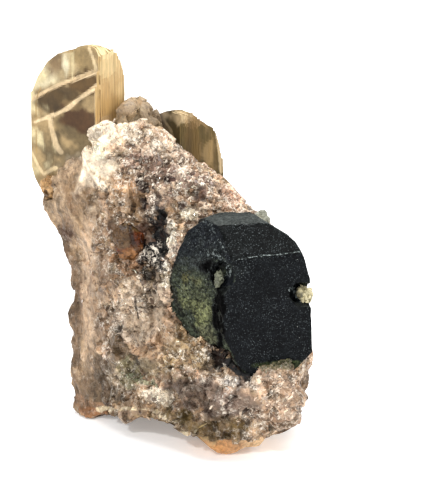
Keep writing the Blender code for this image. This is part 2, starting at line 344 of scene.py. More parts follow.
def read(rows: Any, name: str, width: int = 1, kind: type = float) -> Array:
    """Reads one property of all of a mesh's vertices, loops or faces.

    Args:
        rows: The vertices, loops or faces, or an attribute's data.
        name: The property's name.
        width: How many numbers it has.
        kind: The numbers' type.

    Returns:
        The numbers, one row to each.
    """
    flat = np.empty(len(rows) * width, kind)
    rows.foreach_get(name, flat)
    return flat.reshape(-1, width) if width > 1 else flat


def surface(piece: Piece) -> tuple[Array, Array]:
    """Returns the places of a piece's vertices, in millimetres, and its normals there."""
    return read(piece.data.vertices, "co", 3) / MM, read(piece.data.vertex_normals, "vector", 3)


def place_vertices(piece: Piece, points: Array) -> None:
    """Moves a piece's vertices to places in millimetres."""
    piece.data.vertices.foreach_set("co", (points * MM).ravel())
    piece.data.update()


def over_faces(mesh: Mesh, of_vertices: Array) -> Array:
    """Averages over each face what is known of its vertices.

    Args:
        mesh: The mesh.
        of_vertices: A row of numbers for each vertex.

    Returns:
        A row of numbers for each face.
    """
    corners = read(mesh.loops, "vertex_index", 1, np.int64)
    starts = read(mesh.polygons, "loop_start", 1, np.int64)
    counts = read(mesh.polygons, "loop_total", 1, np.int64)
    return np.add.reduceat(of_vertices[corners], starts, axis=0) / counts[:, None]


def keep(mesh: Mesh, domain: str, **values: Array) -> None:
    """Stores colours or numbers of each vertex or face, for a material to read.

    Args:
        mesh: The mesh.
        domain: POINT or FACE.
        **values: The colours, one to a row, or the numbers, by the attribute's name.
    """
    for name, rows in values.items():
        if rows.ndim == 2:
            rows = np.concatenate([rows, np.ones((len(rows), 1))], axis=1)
            mesh.attributes.new(name, "FLOAT_COLOR", domain).data.foreach_set("color", rows.ravel())
        else:
            mesh.attributes.new(name, "FLOAT", domain).data.foreach_set("value", rows)


def shade(piece: Piece, smooth_below: float | None) -> None:
    """Shades a piece flat or smooth.

    Args:
        piece: The piece.
        smooth_below: The angle in degrees below which faces meet smoothly, or None for a flat piece.
    """
    pick_only(piece)
    if smooth_below is None:
        bpy.ops.object.shade_flat()
    else:
        bpy.ops.object.shade_smooth_by_angle(angle=math.radians(smooth_below))


def add_to_specimen(piece: Piece, material: Material, slot: str, *nodes: str) -> None:
    """Makes a piece part of the specimen.

    Args:
        piece: The piece.
        material: Its material.
        slot: Not used.
        *nodes: The nodes that it stands for.
    """
    piece.data.materials.append(material)
    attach(piece, BODY)
    if nodes:
        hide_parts(*nodes)
    LOG.info("%s: %d faces", piece.name, len(piece.data.polygons))


# ---- materials


class Wire:
    """A socket of a material, with arithmetic that adds Math nodes."""

    def __init__(self, paint: "Paint", socket: bpy.types.NodeSocket) -> None:
        """Wraps the socket of a material under way."""
        self.paint = paint
        self.socket = socket

    def _maths(self, operation: str, first: "Wire | float", second: "Wire | float") -> "Wire":
        """Returns the result of a Math node."""
        return self.paint.node("ShaderNodeMath", {"operation": operation}, {0: first, 1: second})

    def __add__(self, other: "Wire | float") -> "Wire":
        """Returns self + other."""
        return self._maths("ADD", self, other)

    def __sub__(self, other: "Wire | float") -> "Wire":
        """Returns self - other."""
        return self._maths("SUBTRACT", self, other)

    def __rsub__(self, other: float) -> "Wire":
        """Returns other - self."""
        return self._maths("SUBTRACT", other, self)

    def __mul__(self, other: "Wire | float") -> "Wire":
        """Returns self * other."""
        return self._maths("MULTIPLY", self, other)

    def away_from(self, value: float) -> "Wire":
        """Returns how far self is from a value."""
        return self._maths("ABSOLUTE", self - value, 0.0)


class Paint:
    """A material under way: a Principled shader and the nodes that feed it."""

    def __init__(self, name: str) -> None:
        """Starts a material.

        Args:
            name: The material's name.
        """
        self.material = bpy.data.materials.new(name)
        self.material.use_nodes = True
        self.tree = self.material.node_tree
        self.shader = self.tree.nodes["Principled BSDF"]
        self.place = self.node("ShaderNodeTexCoord", None, None, "Object")

    def node(self, kind: str, settings: dict | None, inputs: dict | None, output: str | int = 0) -> Wire:
        """Adds a node.

        Args:
            kind: The node's type.
            settings: Its settings, which are set before its sockets.
            inputs: Values or wires of its sockets.
            output: The output to return.

        Returns:
            The output's wire.
        """
        made = self.tree.nodes.new(kind)
        for name, value in (settings or {}).items():
            setattr(made, name, value)
        for name, value in (inputs or {}).items():
            self.join(made.inputs[name], value)
        return Wire(self, made.outputs[output])

    def join(self, socket: bpy.types.NodeSocket, value: Any) -> None:
        """Feeds a socket.

        Args:
            socket: The socket.
            value: The wire that it is linked to, or its own value or colour.
        """
        if isinstance(value, Wire):
            self.tree.links.new(value.socket, socket)
        elif isinstance(value, tuple) and len(value) == 3 and len(socket.default_value) == 4:
            socket.default_value = (*linear(value)[0], 1.0)
        else:
            socket.default_value = value

    def noise(self, size: float, detail: int = 3, roughness: float = 0.55, stretch: Vec3 = (1, 1, 1)) -> Wire:
        """Soft noise over the piece.

        Args:
            size: Size of its largest blots, in millimetres.
            detail: How many finer layers it has.
            roughness: How strong the finer layers are.
            stretch: How far it is drawn out along X, Y and Z.

        Returns:
            A wire between 0 and 1.
        """
        inputs = {"Vector": self.stretched(stretch), "Scale": 1 / (size * MM), "Detail": detail}
        return self.node("ShaderNodeTexNoise", None, {**inputs, "Roughness": roughness})

    def stretched(self, stretch: Vec3) -> Wire:
        """Draws out the piece's coordinates.

        Args:
            stretch: How far they are drawn out along X, Y and Z.

        Returns:
            The coordinates' wire.
        """
        if stretch == (1, 1, 1):
            return self.place
        inputs = {"Vector": self.place, "Scale": tuple(1 / share for share in stretch)}
        return self.node("ShaderNodeMapping", {"vector_type": "POINT"}, inputs)

    def bent(self, size: float, amount: float) -> Wire:
        """The piece's coordinates, bent by noise so that nothing drawn on them is straight.

        Args:
            size: Size of the bends, in millimetres.
            amount: How far they reach, in millimetres.

        Returns:
            The coordinates' wire.
        """
        inputs = {"Vector": self.place, "Scale": 1 / (size * MM), "Detail": 2.0}
        swirl = self.node("ShaderNodeTexNoise", None, inputs, "Color")
        inputs = {0: swirl, 1: (amount * MM,) * 3, 2: self.place}
        return self.node("ShaderNodeVectorMath", {"operation": "MULTIPLY_ADD"}, inputs)

    def specks(
        self, size: float, place: Wire | None = None, output: str = "Distance", feature: str = "F1"
    ) -> Wire:
        """Uneven cells over the piece.

        Args:
            size: Their size, in millimetres.
            place: The coordinates that they follow.
            output: Distance, from a cell's middle, or Color, a random number for each cell.
            feature: F1, or DISTANCE_TO_EDGE for the distance from a cell's rim.

        Returns:
            The output's wire.
        """
        inputs = {"Vector": place or self.place, "Scale": 1 / (size * MM), "Randomness": 1.0}
        return self.node("ShaderNodeTexVoronoi", {"feature": feature}, inputs, output)

    def grey(self, value: Wire) -> Wire:
        """Makes a colour of a number."""
        return self.node("ShaderNodeCombineColor", None, {0: value, 1: value, 2: value})

    def attribute(self, name: str, output: str = "Color") -> Wire:
        """Reads what the mesh stores under a name."""
        return self.node("ShaderNodeAttribute", {"attribute_name": name}, None, output)

    def between(self, value: Wire, low: float, high: float, start: float = 0.0, end: float = 1.0) -> Wire:
        """Goes smoothly from start to end as a value goes from low to high.

        Args:
            value: The value.
            low: The value at the start.
            high: The value at the end.
            start: The result up to low.
            end: The result from high on.

        Returns:
            The result's wire.
        """
        settings = {"interpolation_type": "SMOOTHSTEP"}
        limits = {"Value": value, "From Min": low, "From Max": high, "To Min": start, "To Max": end}
        return self.node("ShaderNodeMapRange", settings, limits)

    def mix(self, share: Wire | float, first: Wire | Colour, second: Wire | Colour, how: str = "MIX") -> Wire:
        """Mixes two colours.

        Args:
            share: How much of the second is taken.
            first: One colour.
            second: The other colour.
            how: The way that they mix.

        Returns:
            The colour's wire.
        """
        settings = {"data_type": "RGBA", "blend_type": how}
        return self.node("ShaderNodeMix", settings, {0: share, 6: first, 7: second}, 2)

    def toned(self, colour: Wire, tone: Wire) -> Wire:
        """Returns a colour times a number."""
        return self.mix(1.0, colour, self.grey(tone), "MULTIPLY")

    def bump(self, height: Wire, depth: float, strength: float) -> Wire:
        """Returns a normal bent by a height, of which 1 is the given depth in millimetres."""
        inputs = {"Height": height, "Distance": depth * MM, "Strength": strength}
        return self.node("ShaderNodeBump", None, inputs)

    def done(self, **sockets: Any) -> Material:
        """Finishes the material.

        Args:
            **sockets: Values or wires of the shader's sockets, named with _ for a space.

        Returns:
            The material.
        """
        for name, value in sockets.items():
            self.join(self.shader.inputs[name.replace("_", " ")], value)
        return self.material


@dataclass(frozen=True)
class RockFinish:
    """Broken quartz and feldspar: toned grains, painted glints as pale lines, specks and rims, dark gaps and
    a fibrous flank.
    """

    name: str = "quartz_feldspar_rock"
    grain_size: float = 0.8
    crumb_size: float = 0.30
    thread_size: float = 0.8
    glint_size: float = 0.24
    grit_depth: float = 0.06
    # pale: the colour of the painted glints, the pale lines, specks and grain rims that stand in for
    # highlights on grain edges.
    pale: Colour = (250, 238, 220)
    dark: Colour = (50, 32, 24)
    stain: Colour = (92, 66, 50)

    def make(self) -> Material:
        """Builds the material.

        Returns:
            The material.
        """
        paint = Paint(self.name)
        tint = paint.attribute("tint")
        gloss = paint.attribute("gloss", "Fac")
        fibre = paint.attribute("fibre", "Fac")
        crisp = 1 - fibre
        sparkle = paint.attribute("sparkle", "Fac") * (1 - fibre * 0.6)
        bent = paint.bent(0.7, 0.8)
        grain = paint.specks(self.grain_size, bent, "Color")
        crumb = paint.specks(self.crumb_size, paint.bent(0.4, 0.3), "Color")
        mottle = paint.between(paint.noise(1.9, 5, 0.62), 0.32, 0.68, 0.6, 1.4)
        busy = paint.between(paint.noise(0.5, 5, 0.7), 0.34, 0.66, 0.6, 1.4)
        busy = (busy * paint.between(grain, 0.0, 1.0, 0.75, 1.25) - 1) * (sparkle * 0.9 + 0.3) + 1
        tone = mottle * busy
        streak = paint.between(paint.noise(1.7, 6, 0.72, (1, 1, 1.7)), 0.36, 0.64, 0.5, 1.4)
        streak = streak * paint.between(paint.noise(0.5, 4, 0.72, (1, 1, 1.2)), 0.32, 0.68, 0.72, 1.26)
        tone = tone * crisp + streak * fibre
        colour = paint.toned(tint, tone)
        stains = paint.between(paint.noise(2.6, 5, 0.65, (1, 1, 2.2)), 0.52, 0.66) * fibre
        colour = paint.mix(stains * 0.5, colour, self.stain)
        gaps = paint.between(paint.noise(1.2, 5, 0.66, (1, 1, 0.8)).away_from(0.47), 0.04, 0.01)
        gaps = gaps * paint.between(paint.noise(1.6, 3), 0.48, 0.58) * (1 - fibre * 0.6)
        colour = paint.mix(gaps * 0.75, colour, self.dark)
        spots = paint.between(crumb, 0.8, 0.86) * paint.between(paint.noise(1.3, 3), 0.46, 0.54) * crisp
        colour = paint.mix(spots * 0.6, colour, self.dark)
        # Painted glints: pale lines, fine lines, specks and grain rims in the pale colour stand in for
        # highlights on grain edges.
        broken = paint.between(paint.noise(0.7, 3), 0.48, 0.56)
        glint_thread = paint.between(paint.noise(self.thread_size, 4, 0.62).away_from(0.5), 0.034, 0.024) * broken
        fine = paint.between(paint.noise(0.45, 4, 0.62).away_from(0.52), 0.05, 0.03)
        fine = fine * paint.between(paint.noise(1.1, 3) + sparkle * 0.12, 0.51, 0.6)
        glint_flake = paint.between(paint.specks(0.3, paint.bent(0.3, 0.25), "Color"), 0.84, 0.88)
        glint_flake = glint_flake * paint.between(paint.noise(1.4, 3), 0.5, 0.58)
        pale = (glint_thread * 1.3 + fine * 0.8 + glint_flake * 0.5) * sparkle
        colour = paint.mix(paint.between(pale, 0.0, 1.1), colour, self.pale)
        rims = paint.specks(self.grain_size, bent, "Distance", "DISTANCE_TO_EDGE")
        rim = paint.between(rims, 0.07, 0.025) * broken * sparkle
        colour = paint.mix(rim * 0.55, colour, self.pale)
        grit = paint.noise(0.16, 4, 0.65)
        glint = paint.between(paint.specks(self.glint_size, output="Color"), 0.5, 1.0)
        relief = grit * 0.5 + crumb * 0.5 + rim * 0.4 + pale * 0.4 - gaps * 0.6
        return paint.done(
            Base_Color=colour,
            Roughness=0.6 - gloss * 0.42 - glint * crisp * 0.15 + paint.between(grit, 0.3, 0.7) * 0.12,
            Normal=paint.bump(relief, self.grit_depth, 0.8),
            Specular_IOR_Level=0.22,
        )


@dataclass(frozen=True)
class GrainFinish:
    """Loose grains that share the rock's colours: how matt a grain is and how glassy its skin."""

    name: str
    matt: float
    coat: float

    def make(self) -> Material:
        """Builds the material.

        Returns:
            The material.
        """
        paint = Paint(self.name)
        cloud = paint.between(paint.noise(0.4), 0.3, 0.75, 0.8, 1.15)
        grit = paint.noise(0.15, 3)
        return paint.done(
            Base_Color=paint.toned(paint.attribute("tint"), cloud),
            Roughness=paint.between(grit, 0.3, 0.7, self.matt * 0.6, self.matt * 1.4),
            Normal=paint.bump(grit, 0.015, 0.5),
            IOR=1.54,
            Specular_IOR_Level=0.3,
            Coat_Weight=self.coat,
            Coat_Roughness=0.08,
        )


@dataclass(frozen=True)
class TriphyliteFinish:
    """Dark triphylite: near black with a cold cast, finely sparkling, pale where its edges are worn and along
    painted edge highlights.
    """

    name: str = "triphylite"
    dust_size: float = 0.13
    spark_size: float = 0.2
    crumb_size: float = 0.26
    grain_size: float = 0.22
    dust: Colour = (112, 120, 122)
    spark: Colour = (222, 226, 220)
    # The pale grey of worn edges and of painted edge highlights.
    worn_and_highlight_colour: Colour = (150, 160, 158)

    def make(self) -> Material:
        """Builds the material.

        Returns:
            The material.
        """
        paint = Paint(self.name)
        tint = paint.attribute("tint")
        wear = paint.attribute("wear", "Fac")
        rough = paint.attribute("rough", "Fac")
        cloud = paint.between(paint.noise(1.8, 5, 0.65), 0.3, 0.7, 0.7, 1.35)
        crumb = paint.specks(self.crumb_size, paint.bent(0.4, 0.2), "Color")
        mottle = paint.between(crumb, 0.1, 0.9, 0.22, 1.9)
        colour = paint.toned(tint, cloud * (mottle * rough + (1 - rough)))
        grime = paint.between(paint.noise(0.25, 3, 0.7), 0.35, 0.68, 0.6, 1.7)
        colour = paint.toned(colour, grime)
        bent = paint.bent(1.5, 1.2)
        motes = paint.between(paint.specks(self.dust_size, bent), 0.42, 0.2)
        motes = motes * paint.between(paint.specks(self.dust_size, bent, "Color"), 0.35, 0.95)
        # Outside the painted black shadow: only there do dust motes and glints show, and the surface is less
        # rough.
        outside_painted_shadow = paint.between(paint.node("ShaderNodeRGBToBW", None, {0: tint}), 0.0012, 0.002)
        motes = motes * paint.between(paint.noise(3.0, 3), 0.3, 0.7, 0.2, 0.7) * outside_painted_shadow
        colour = paint.mix(motes, colour, self.dust)
        spark = paint.between(paint.specks(self.spark_size, bent), 0.2, 0.1)
        spark = spark * paint.between(paint.specks(self.spark_size, bent, "Color"), 0.9 - rough * 0.1, 0.97)
        spark = spark * outside_painted_shadow
        colour = paint.mix(spark * (rough * 0.2 + 0.8), colour, self.spark)
        chips = paint.noise(0.3, 4, 0.75)
        # Pale grey where edges are worn and along the painted edge highlights.
        worn = paint.between(wear + (chips - 0.5) * 2.0, 0.48, 0.85)
        colour = paint.mix(worn * 0.85, colour, self.worn_and_highlight_colour)
        grain = paint.noise(self.grain_size, 4, 0.7)
        return paint.done(
            Base_Color=colour,
            Roughness=paint.between(grain, 0.3, 0.7, 0.28, 0.5) + worn * 0.2 + (1 - outside_painted_shadow) * 0.6,
            Normal=paint.bump(grain + spark * 0.8 + crumb * rough, 0.03, 0.6),
            Specular_IOR_Level=0.05,
        )


@dataclass(frozen=True)
class MicaFinish:
    """Muscovite: cloudy pearly leaves, and golden-brown rims with streaks of a width in millimetres."""

    name: str
    streak_size: float
    streaking: float
    coat: float

    def make(self) -> Material:
        """Builds the material.

        Returns:
            The material.
        """
        paint = Paint(self.name)
        tint = paint.attribute("tint")
        rim = paint.attribute("rim", "Fac")
        streak = paint.noise(self.streak_size, 4, 0.65, (1, 1, 12))
        film = paint.noise(1.6, 6, 0.7)
        light = paint.between(streak, 0.35, 0.65, 1 - self.streaking / 2, 1 + self.streaking / 2) * rim
        light = light + paint.between(film, 0.3, 0.7, 0.7, 1.3) * (1 - rim)
        colour = paint.toned(tint, light)
        return paint.done(
            Base_Color=colour,
            Roughness=paint.between(film, 0.3, 0.7, 0.34, 0.55),
            Normal=paint.bump(streak * rim + film * (1 - rim), 0.02, 0.5),
            Coat_Weight=self.coat,
            Coat_Roughness=0.15,
            Specular_IOR_Level=0.16,
        )


@dataclass(frozen=True)
class CrystalFinish:
    """A small crystal of one mineral: the colour, size and stretch of its veins, and how it takes light."""

    name: str
    vein: Colour
    matt: float
    clearness: float = 0.0
    vein_size: float = 1.2
    stretch: Vec3 = (1, 1, 1)
    shine: float = 0.3

    def make(self) -> Material:
        """Builds the material.

        Returns:
            The material.
        """
        paint = Paint(self.name)
        veins = paint.between(paint.noise(self.vein_size, 5, 0.65, self.stretch), 0.46, 0.66)
        specks = paint.between(paint.noise(0.3, 4, 0.7), 0.3, 0.7, 0.66, 1.32)
        colour = paint.mix(veins * 0.8, paint.attribute("tint"), self.vein)
        colour = paint.toned(colour, specks)
        grit = paint.noise(0.2, 4, 0.6)
        return paint.done(
            Base_Color=colour,
            Roughness=paint.between(grit, 0.3, 0.7, self.matt * 0.7, self.matt * 1.3),
            Normal=paint.bump(grit, 0.03, 0.5),
            Transmission_Weight=self.clearness,
            IOR=1.54,
            Specular_IOR_Level=self.shine,
        )


# ---- the rock


ROCK_PATCHES = (
    # Darker towards the bottom: partly the stone's own darker colour, partly painted shade where less light
    # reaches the low rock.
    Patch((0, -3, 3), (20, 20, 8), (104, 83, 58), 0.5, 0.36),
    Patch((-11, 3.5, 16), (6, 9, 14), (138, 114, 86), 0.6),
    # Painted highlight: the light band down the left flank.
    Patch((-9.2, 1.8, 16), (1.2, 9, 11), (180, 154, 128), 0.75),
    Patch((-11, 4.5, 12), (0.9, 9, 8.5), (100, 78, 58), 0.8),
    Patch((-12.4, 5.6, 17), (1.2, 9, 9), (96, 74, 54), 0.8),
    Patch((-7.3, -0.6, 20), (0.9, 9, 4), (118, 94, 74), 0.65),
    Patch((-7.8, -0.2, 13), (1, 9, 3), (122, 100, 80), 0.6),
    Patch((-10.4, 3, 27), (2.6, 9, 2.6), (118, 94, 68), 0.75),
    Patch((-8.9, 1.2, 28.8), (1.5, 9, 2.8), (228, 206, 178), 0.75, blur=0.9),
    Patch((-11.7, 5.2, 21.6), (1, 9, 1.2), (86, 62, 52), 0.8),
    Patch((-3.2, -5.4, 15.6), (3.5, 5, 5), (174, 158, 138), 0.6, 0.45),
    Patch((-5.8, 0.7, 34.1), (3.6, 6, 1.8), (216, 196, 170), 0.85, 0.8),
    Patch((-7.6, 0.4, 30.8), (2.4, 5, 4), (240, 221, 194), 0.95),
    Patch((-1.8, 0.6, 32.9), (2.6, 4, 0.8), (212, 190, 166), 0.7, 0.8),
    Patch((-5.1, -1.8, 27.5), (2, 4, 2.8), (110, 86, 62), 0.85),
    Patch((-1.6, -1.6, 30.8), (3.6, 4, 2.4), (219, 195, 174), 0.6, 1),
    Patch((-2.8, -1.3, 31.4), (2.3, 4, 1.2), (196, 166, 148), 0.7, 1.2),
    Patch((-4.9, -1.2, 29.2), (1.5, 4, 1.5), (162, 126, 92), 0.6, 0.7),
    Patch((-4.3, -0.4, 33), (0.9, 3, 0.35), (92, 66, 54), 0.8, 0.3),
    Patch((-0.2, -2, 30.7), (0.9, 3, 0.7), (106, 76, 62), 0.8, 0.3),
    Patch((3.4, -1.6, 29.6), (2.6, 4, 0.9), (198, 172, 154), 0.6, 1),
    Patch((3.5, -2.8, 28.4), (0.9, 3, 0.8), (64, 42, 34), 0.9, 0.3, depth=0.2),
    Patch((-2, -3.4, 27), (0.9, 3, 1.3), (120, 96, 84), 0.7, 1),
    Patch((7, 0.7, 27.2), (1.9, 3.5, 1.4), (200, 160, 134), 0.8, 0.8),
    Patch((-3.1, -3.6, 25.6), (1.1, 3, 0.9), (104, 82, 58), 0.85, 0.5),
    Patch((-4.6, -4.6, 20.6), (2, 3.5, 1.4), (128, 92, 60), 0.85, 0.2),
    Patch((-6, -3.8, 23.6), (1, 3, 1.3), (92, 68, 50), 0.8, 0.6),
    Patch((-2.9, -4.2, 23.5), (0.9, 3, 1.8), (56, 28, 14), 0.95, 0.1),
    Patch((0.3, -5.2, 23), (0.9, 3, 2.4), (176, 162, 148), 0.75, 1),
    Patch((-0.2, -6.4, 20.2), (0.7, 3, 1.6), (168, 160, 132), 0.7, 1),
    Patch((0.6, -6, 24.4), (0.5, 3, 1.4), (208, 198, 172), 0.8, 1),
    Patch((2, -6, 26.4), (1.1, 3, 0.6), (210, 200, 172), 0.8, 1),
    Patch((1.8, -8.5, 11.9), (3, 4, 2.6), (158, 135, 98), 0.7, 0.6),
    Patch((-5.6, -3.9, 10.8), (1.6, 4, 1.2), (76, 62, 44), 0.8, 0.25),
    Patch((-2.7, -6.8, 9.2), (1.5, 3, 1.2), (92, 82, 60), 0.75, 0.3),
    Patch((-4.6, -4.5, 7.7), (1.4, 4, 1.7), (104, 102, 74), 0.75),
    Patch((-1.4, -7.2, 6), (1.8, 4, 1), (214, 201, 178), 0.8, 0.9),
    Patch((-6.4, -2.2, 6.4), (0.7, 4, 2.2), (178, 160, 136), 0.7, 0.5),
    Patch((6.6, -12.4, 9.4), (1.2, 3, 0.8), (196, 190, 184), 0.8, 1),
    Patch((3.8, -10.9, 9), (1.6, 4, 0.8), (150, 138, 130), 0.6, 0.9),
    Patch((4.2, -11.8, 7.2), (4.6, 5, 2.5), (74, 61, 53), 0.9, 0.15),
    Patch((7.8, -12.6, 6.9), (2.8, 5, 2.2), (88, 74, 66), 0.85, 0.3),
    Patch((9.4, -12.6, 9.3), (1.6, 4, 1.1), (116, 103, 94), 0.75, 0.6),
    Patch((12.7, -13, 9), (2.6, 4, 3), (148, 124, 102), 0.75, 0.7),
    Patch((11.2, -12.2, 5), (3.2, 4, 1.8), (116, 93, 76), 0.65, 0.5),
    Patch((12.2, -12.8, 11.6), (2.2, 2, 0.6), (74, 78, 50), 0.7),
    Patch((4.4, -11.4, 3.7), (4.6, 5, 1.4), (80, 62, 28), 0.9, 0.2),
    Patch((1.4, -9.4, 3.9), (2.6, 5, 1), (80, 64, 32), 0.9, 0.2),
    Patch((-7.8, 0.8, 7.4), (1.5, 8, 2.6), (68, 54, 39), 0.85, 0.2, blur=0.8),
    Patch((-7.2, 0.4, 3.9), (2.8, 8, 2.3), (70, 56, 40), 0.85, 0.2, blur=0.6),
    Patch((-10, 2.6, 4), (1.4, 8, 2.6), (104, 84, 64), 0.7, 0.2, blur=0.8),
    Patch((-9.4, 2.6, 1.6), (2.4, 8, 0.8), (132, 100, 74), 0.8),
    Patch((-8.9, 2.8, 0.9), (1.5, 4, 0.6), (160, 108, 68), 0.75),
    Patch((-1.4, -4.6, 2.6), (3.2, 6, 0.5), (176, 152, 112), 0.7),
    # Painted shade: the dark band on the lifted underside's lip, just above the floor.
    Patch((1.6, -6.6, 2), (3, 6, 0.5), (84, 62, 42), 0.8),
    Stroke(
        ((-8.3, 1.4), (-6.7, 2.1), (-5.1, 3.3), (-3, 3.8), (-1, 3.6), (0.7, 3.2), (2.3, 2.4)), 0.4,
        (214, 196, 162), 0.9, far=3.5,
    ),
)
# Sunken clefts and cracks. The near-black colours of the deep clefts and pockets, and the black stroke that
# carries the crystal's shadow band down into the rock, are painted shade.
ROCK_CLEFTS_AND_SHADE = (
    Stroke(((5.6, 14.2), (6, 12.6), (6.7, 11.3), (7.7, 10.5), (8.8, 10.2)), 1.25, (9, 9, 10), 1, 0, far=-4),
    Stroke(((-0.9, 26.3), (-1.3, 25), (-1.2, 23.6)), 1, (6, 5, 8), 1, 0.05, depth=0.2, far=0),
    Patch((-3.5, -5.4, 15.2), (0.14, 3, 1.9), (46, 36, 28), 0.9, 0.2, depth=0.12),
    Patch((-2.2, -6, 16), (1.1, 3, 0.13), (60, 46, 36), 0.8, 0.3, depth=0.1),
    Patch((-7, -0.6, 27.8), (0.13, 3, 1.2), (70, 54, 40), 0.8, 0.3, depth=0.1),
    Patch((-1.3, -4.4, 24), (1.2, 4, 2.9), (8, 6, 9), 1, 0.1, depth=1),
    Patch((-1.9, -5, 21.6), (1.2, 4, 1.3), (14, 10, 12), 0.97, 0.72, depth=0.5),
    Patch((-2.3, -5.4, 19.4), (0.7, 3, 1.2), (30, 24, 20), 0.95, 0.1, depth=0.6),
    Patch((0, -2.4, 29.8), (0.9, 3, 0.35), (52, 30, 26), 0.95, 0.5, depth=0.3),
    Patch((-2.9, -2.2, 28.7), (0.85, 3, 1), (40, 25, 20), 1, 0.35, depth=0.5),
    Patch((-2.9, -2.6, 27.1), (0.6, 3, 0.9), (34, 22, 18), 1, 0.3, depth=0.5),
    Patch((1.4, -4.5, 27.2), (0.5, 2.5, 0.4), (46, 32, 28), 0.9, 0.3, depth=0.4),
    Patch((5.4, -10.4, 12.6), (1, 3, 1.8), (26, 19, 17), 0.97, 0.1, depth=0.9),
)
ROCK_SWELLS = (
    Patch((6, -10.6, 3), (6, 3, 1.3), depth=-0.5),
    Patch((-7.8, 0.6, 32.4), (3, 3.4, 3.8), depth=-0.8, blur=0.9),
    Patch((-7.2, 1.4, 34.3), (2.2, 2.6, 1.8), depth=-0.7, blur=0.8),
    Patch((-3.1, -4.3, 23.7), (1, 3, 1.9), depth=0.5),
    Patch((14.3, -11.2, 5), (2.8, 5, 3.4), depth=-1.3),
    Patch((-10.2, 4, 0.3), (1.6, 4, 1.2), depth=-0.4),
    Patch((-12.6, 5.5, 11.8), (3, 9, 3.4), depth=0.6),
    Patch((13.4, -12.8, 10.6), (1.6, 1.6, 1.6), depth=-0.4),
)
ROCK_UNDER = (
    (-8.8, -7.4, -5.6, -3.4, -1.7, 0, 1.2, 2.4, 3.8, 8.2, 10, 11.4, 12.6, 13.4, 14.4),
    (0, 0.3, 1.3, 2.7, 3.1, 2.9, 2.5, 2.1, 1.1, 0.6, 1.2, 2.8, 3.8, 4.2, 5.3),
)


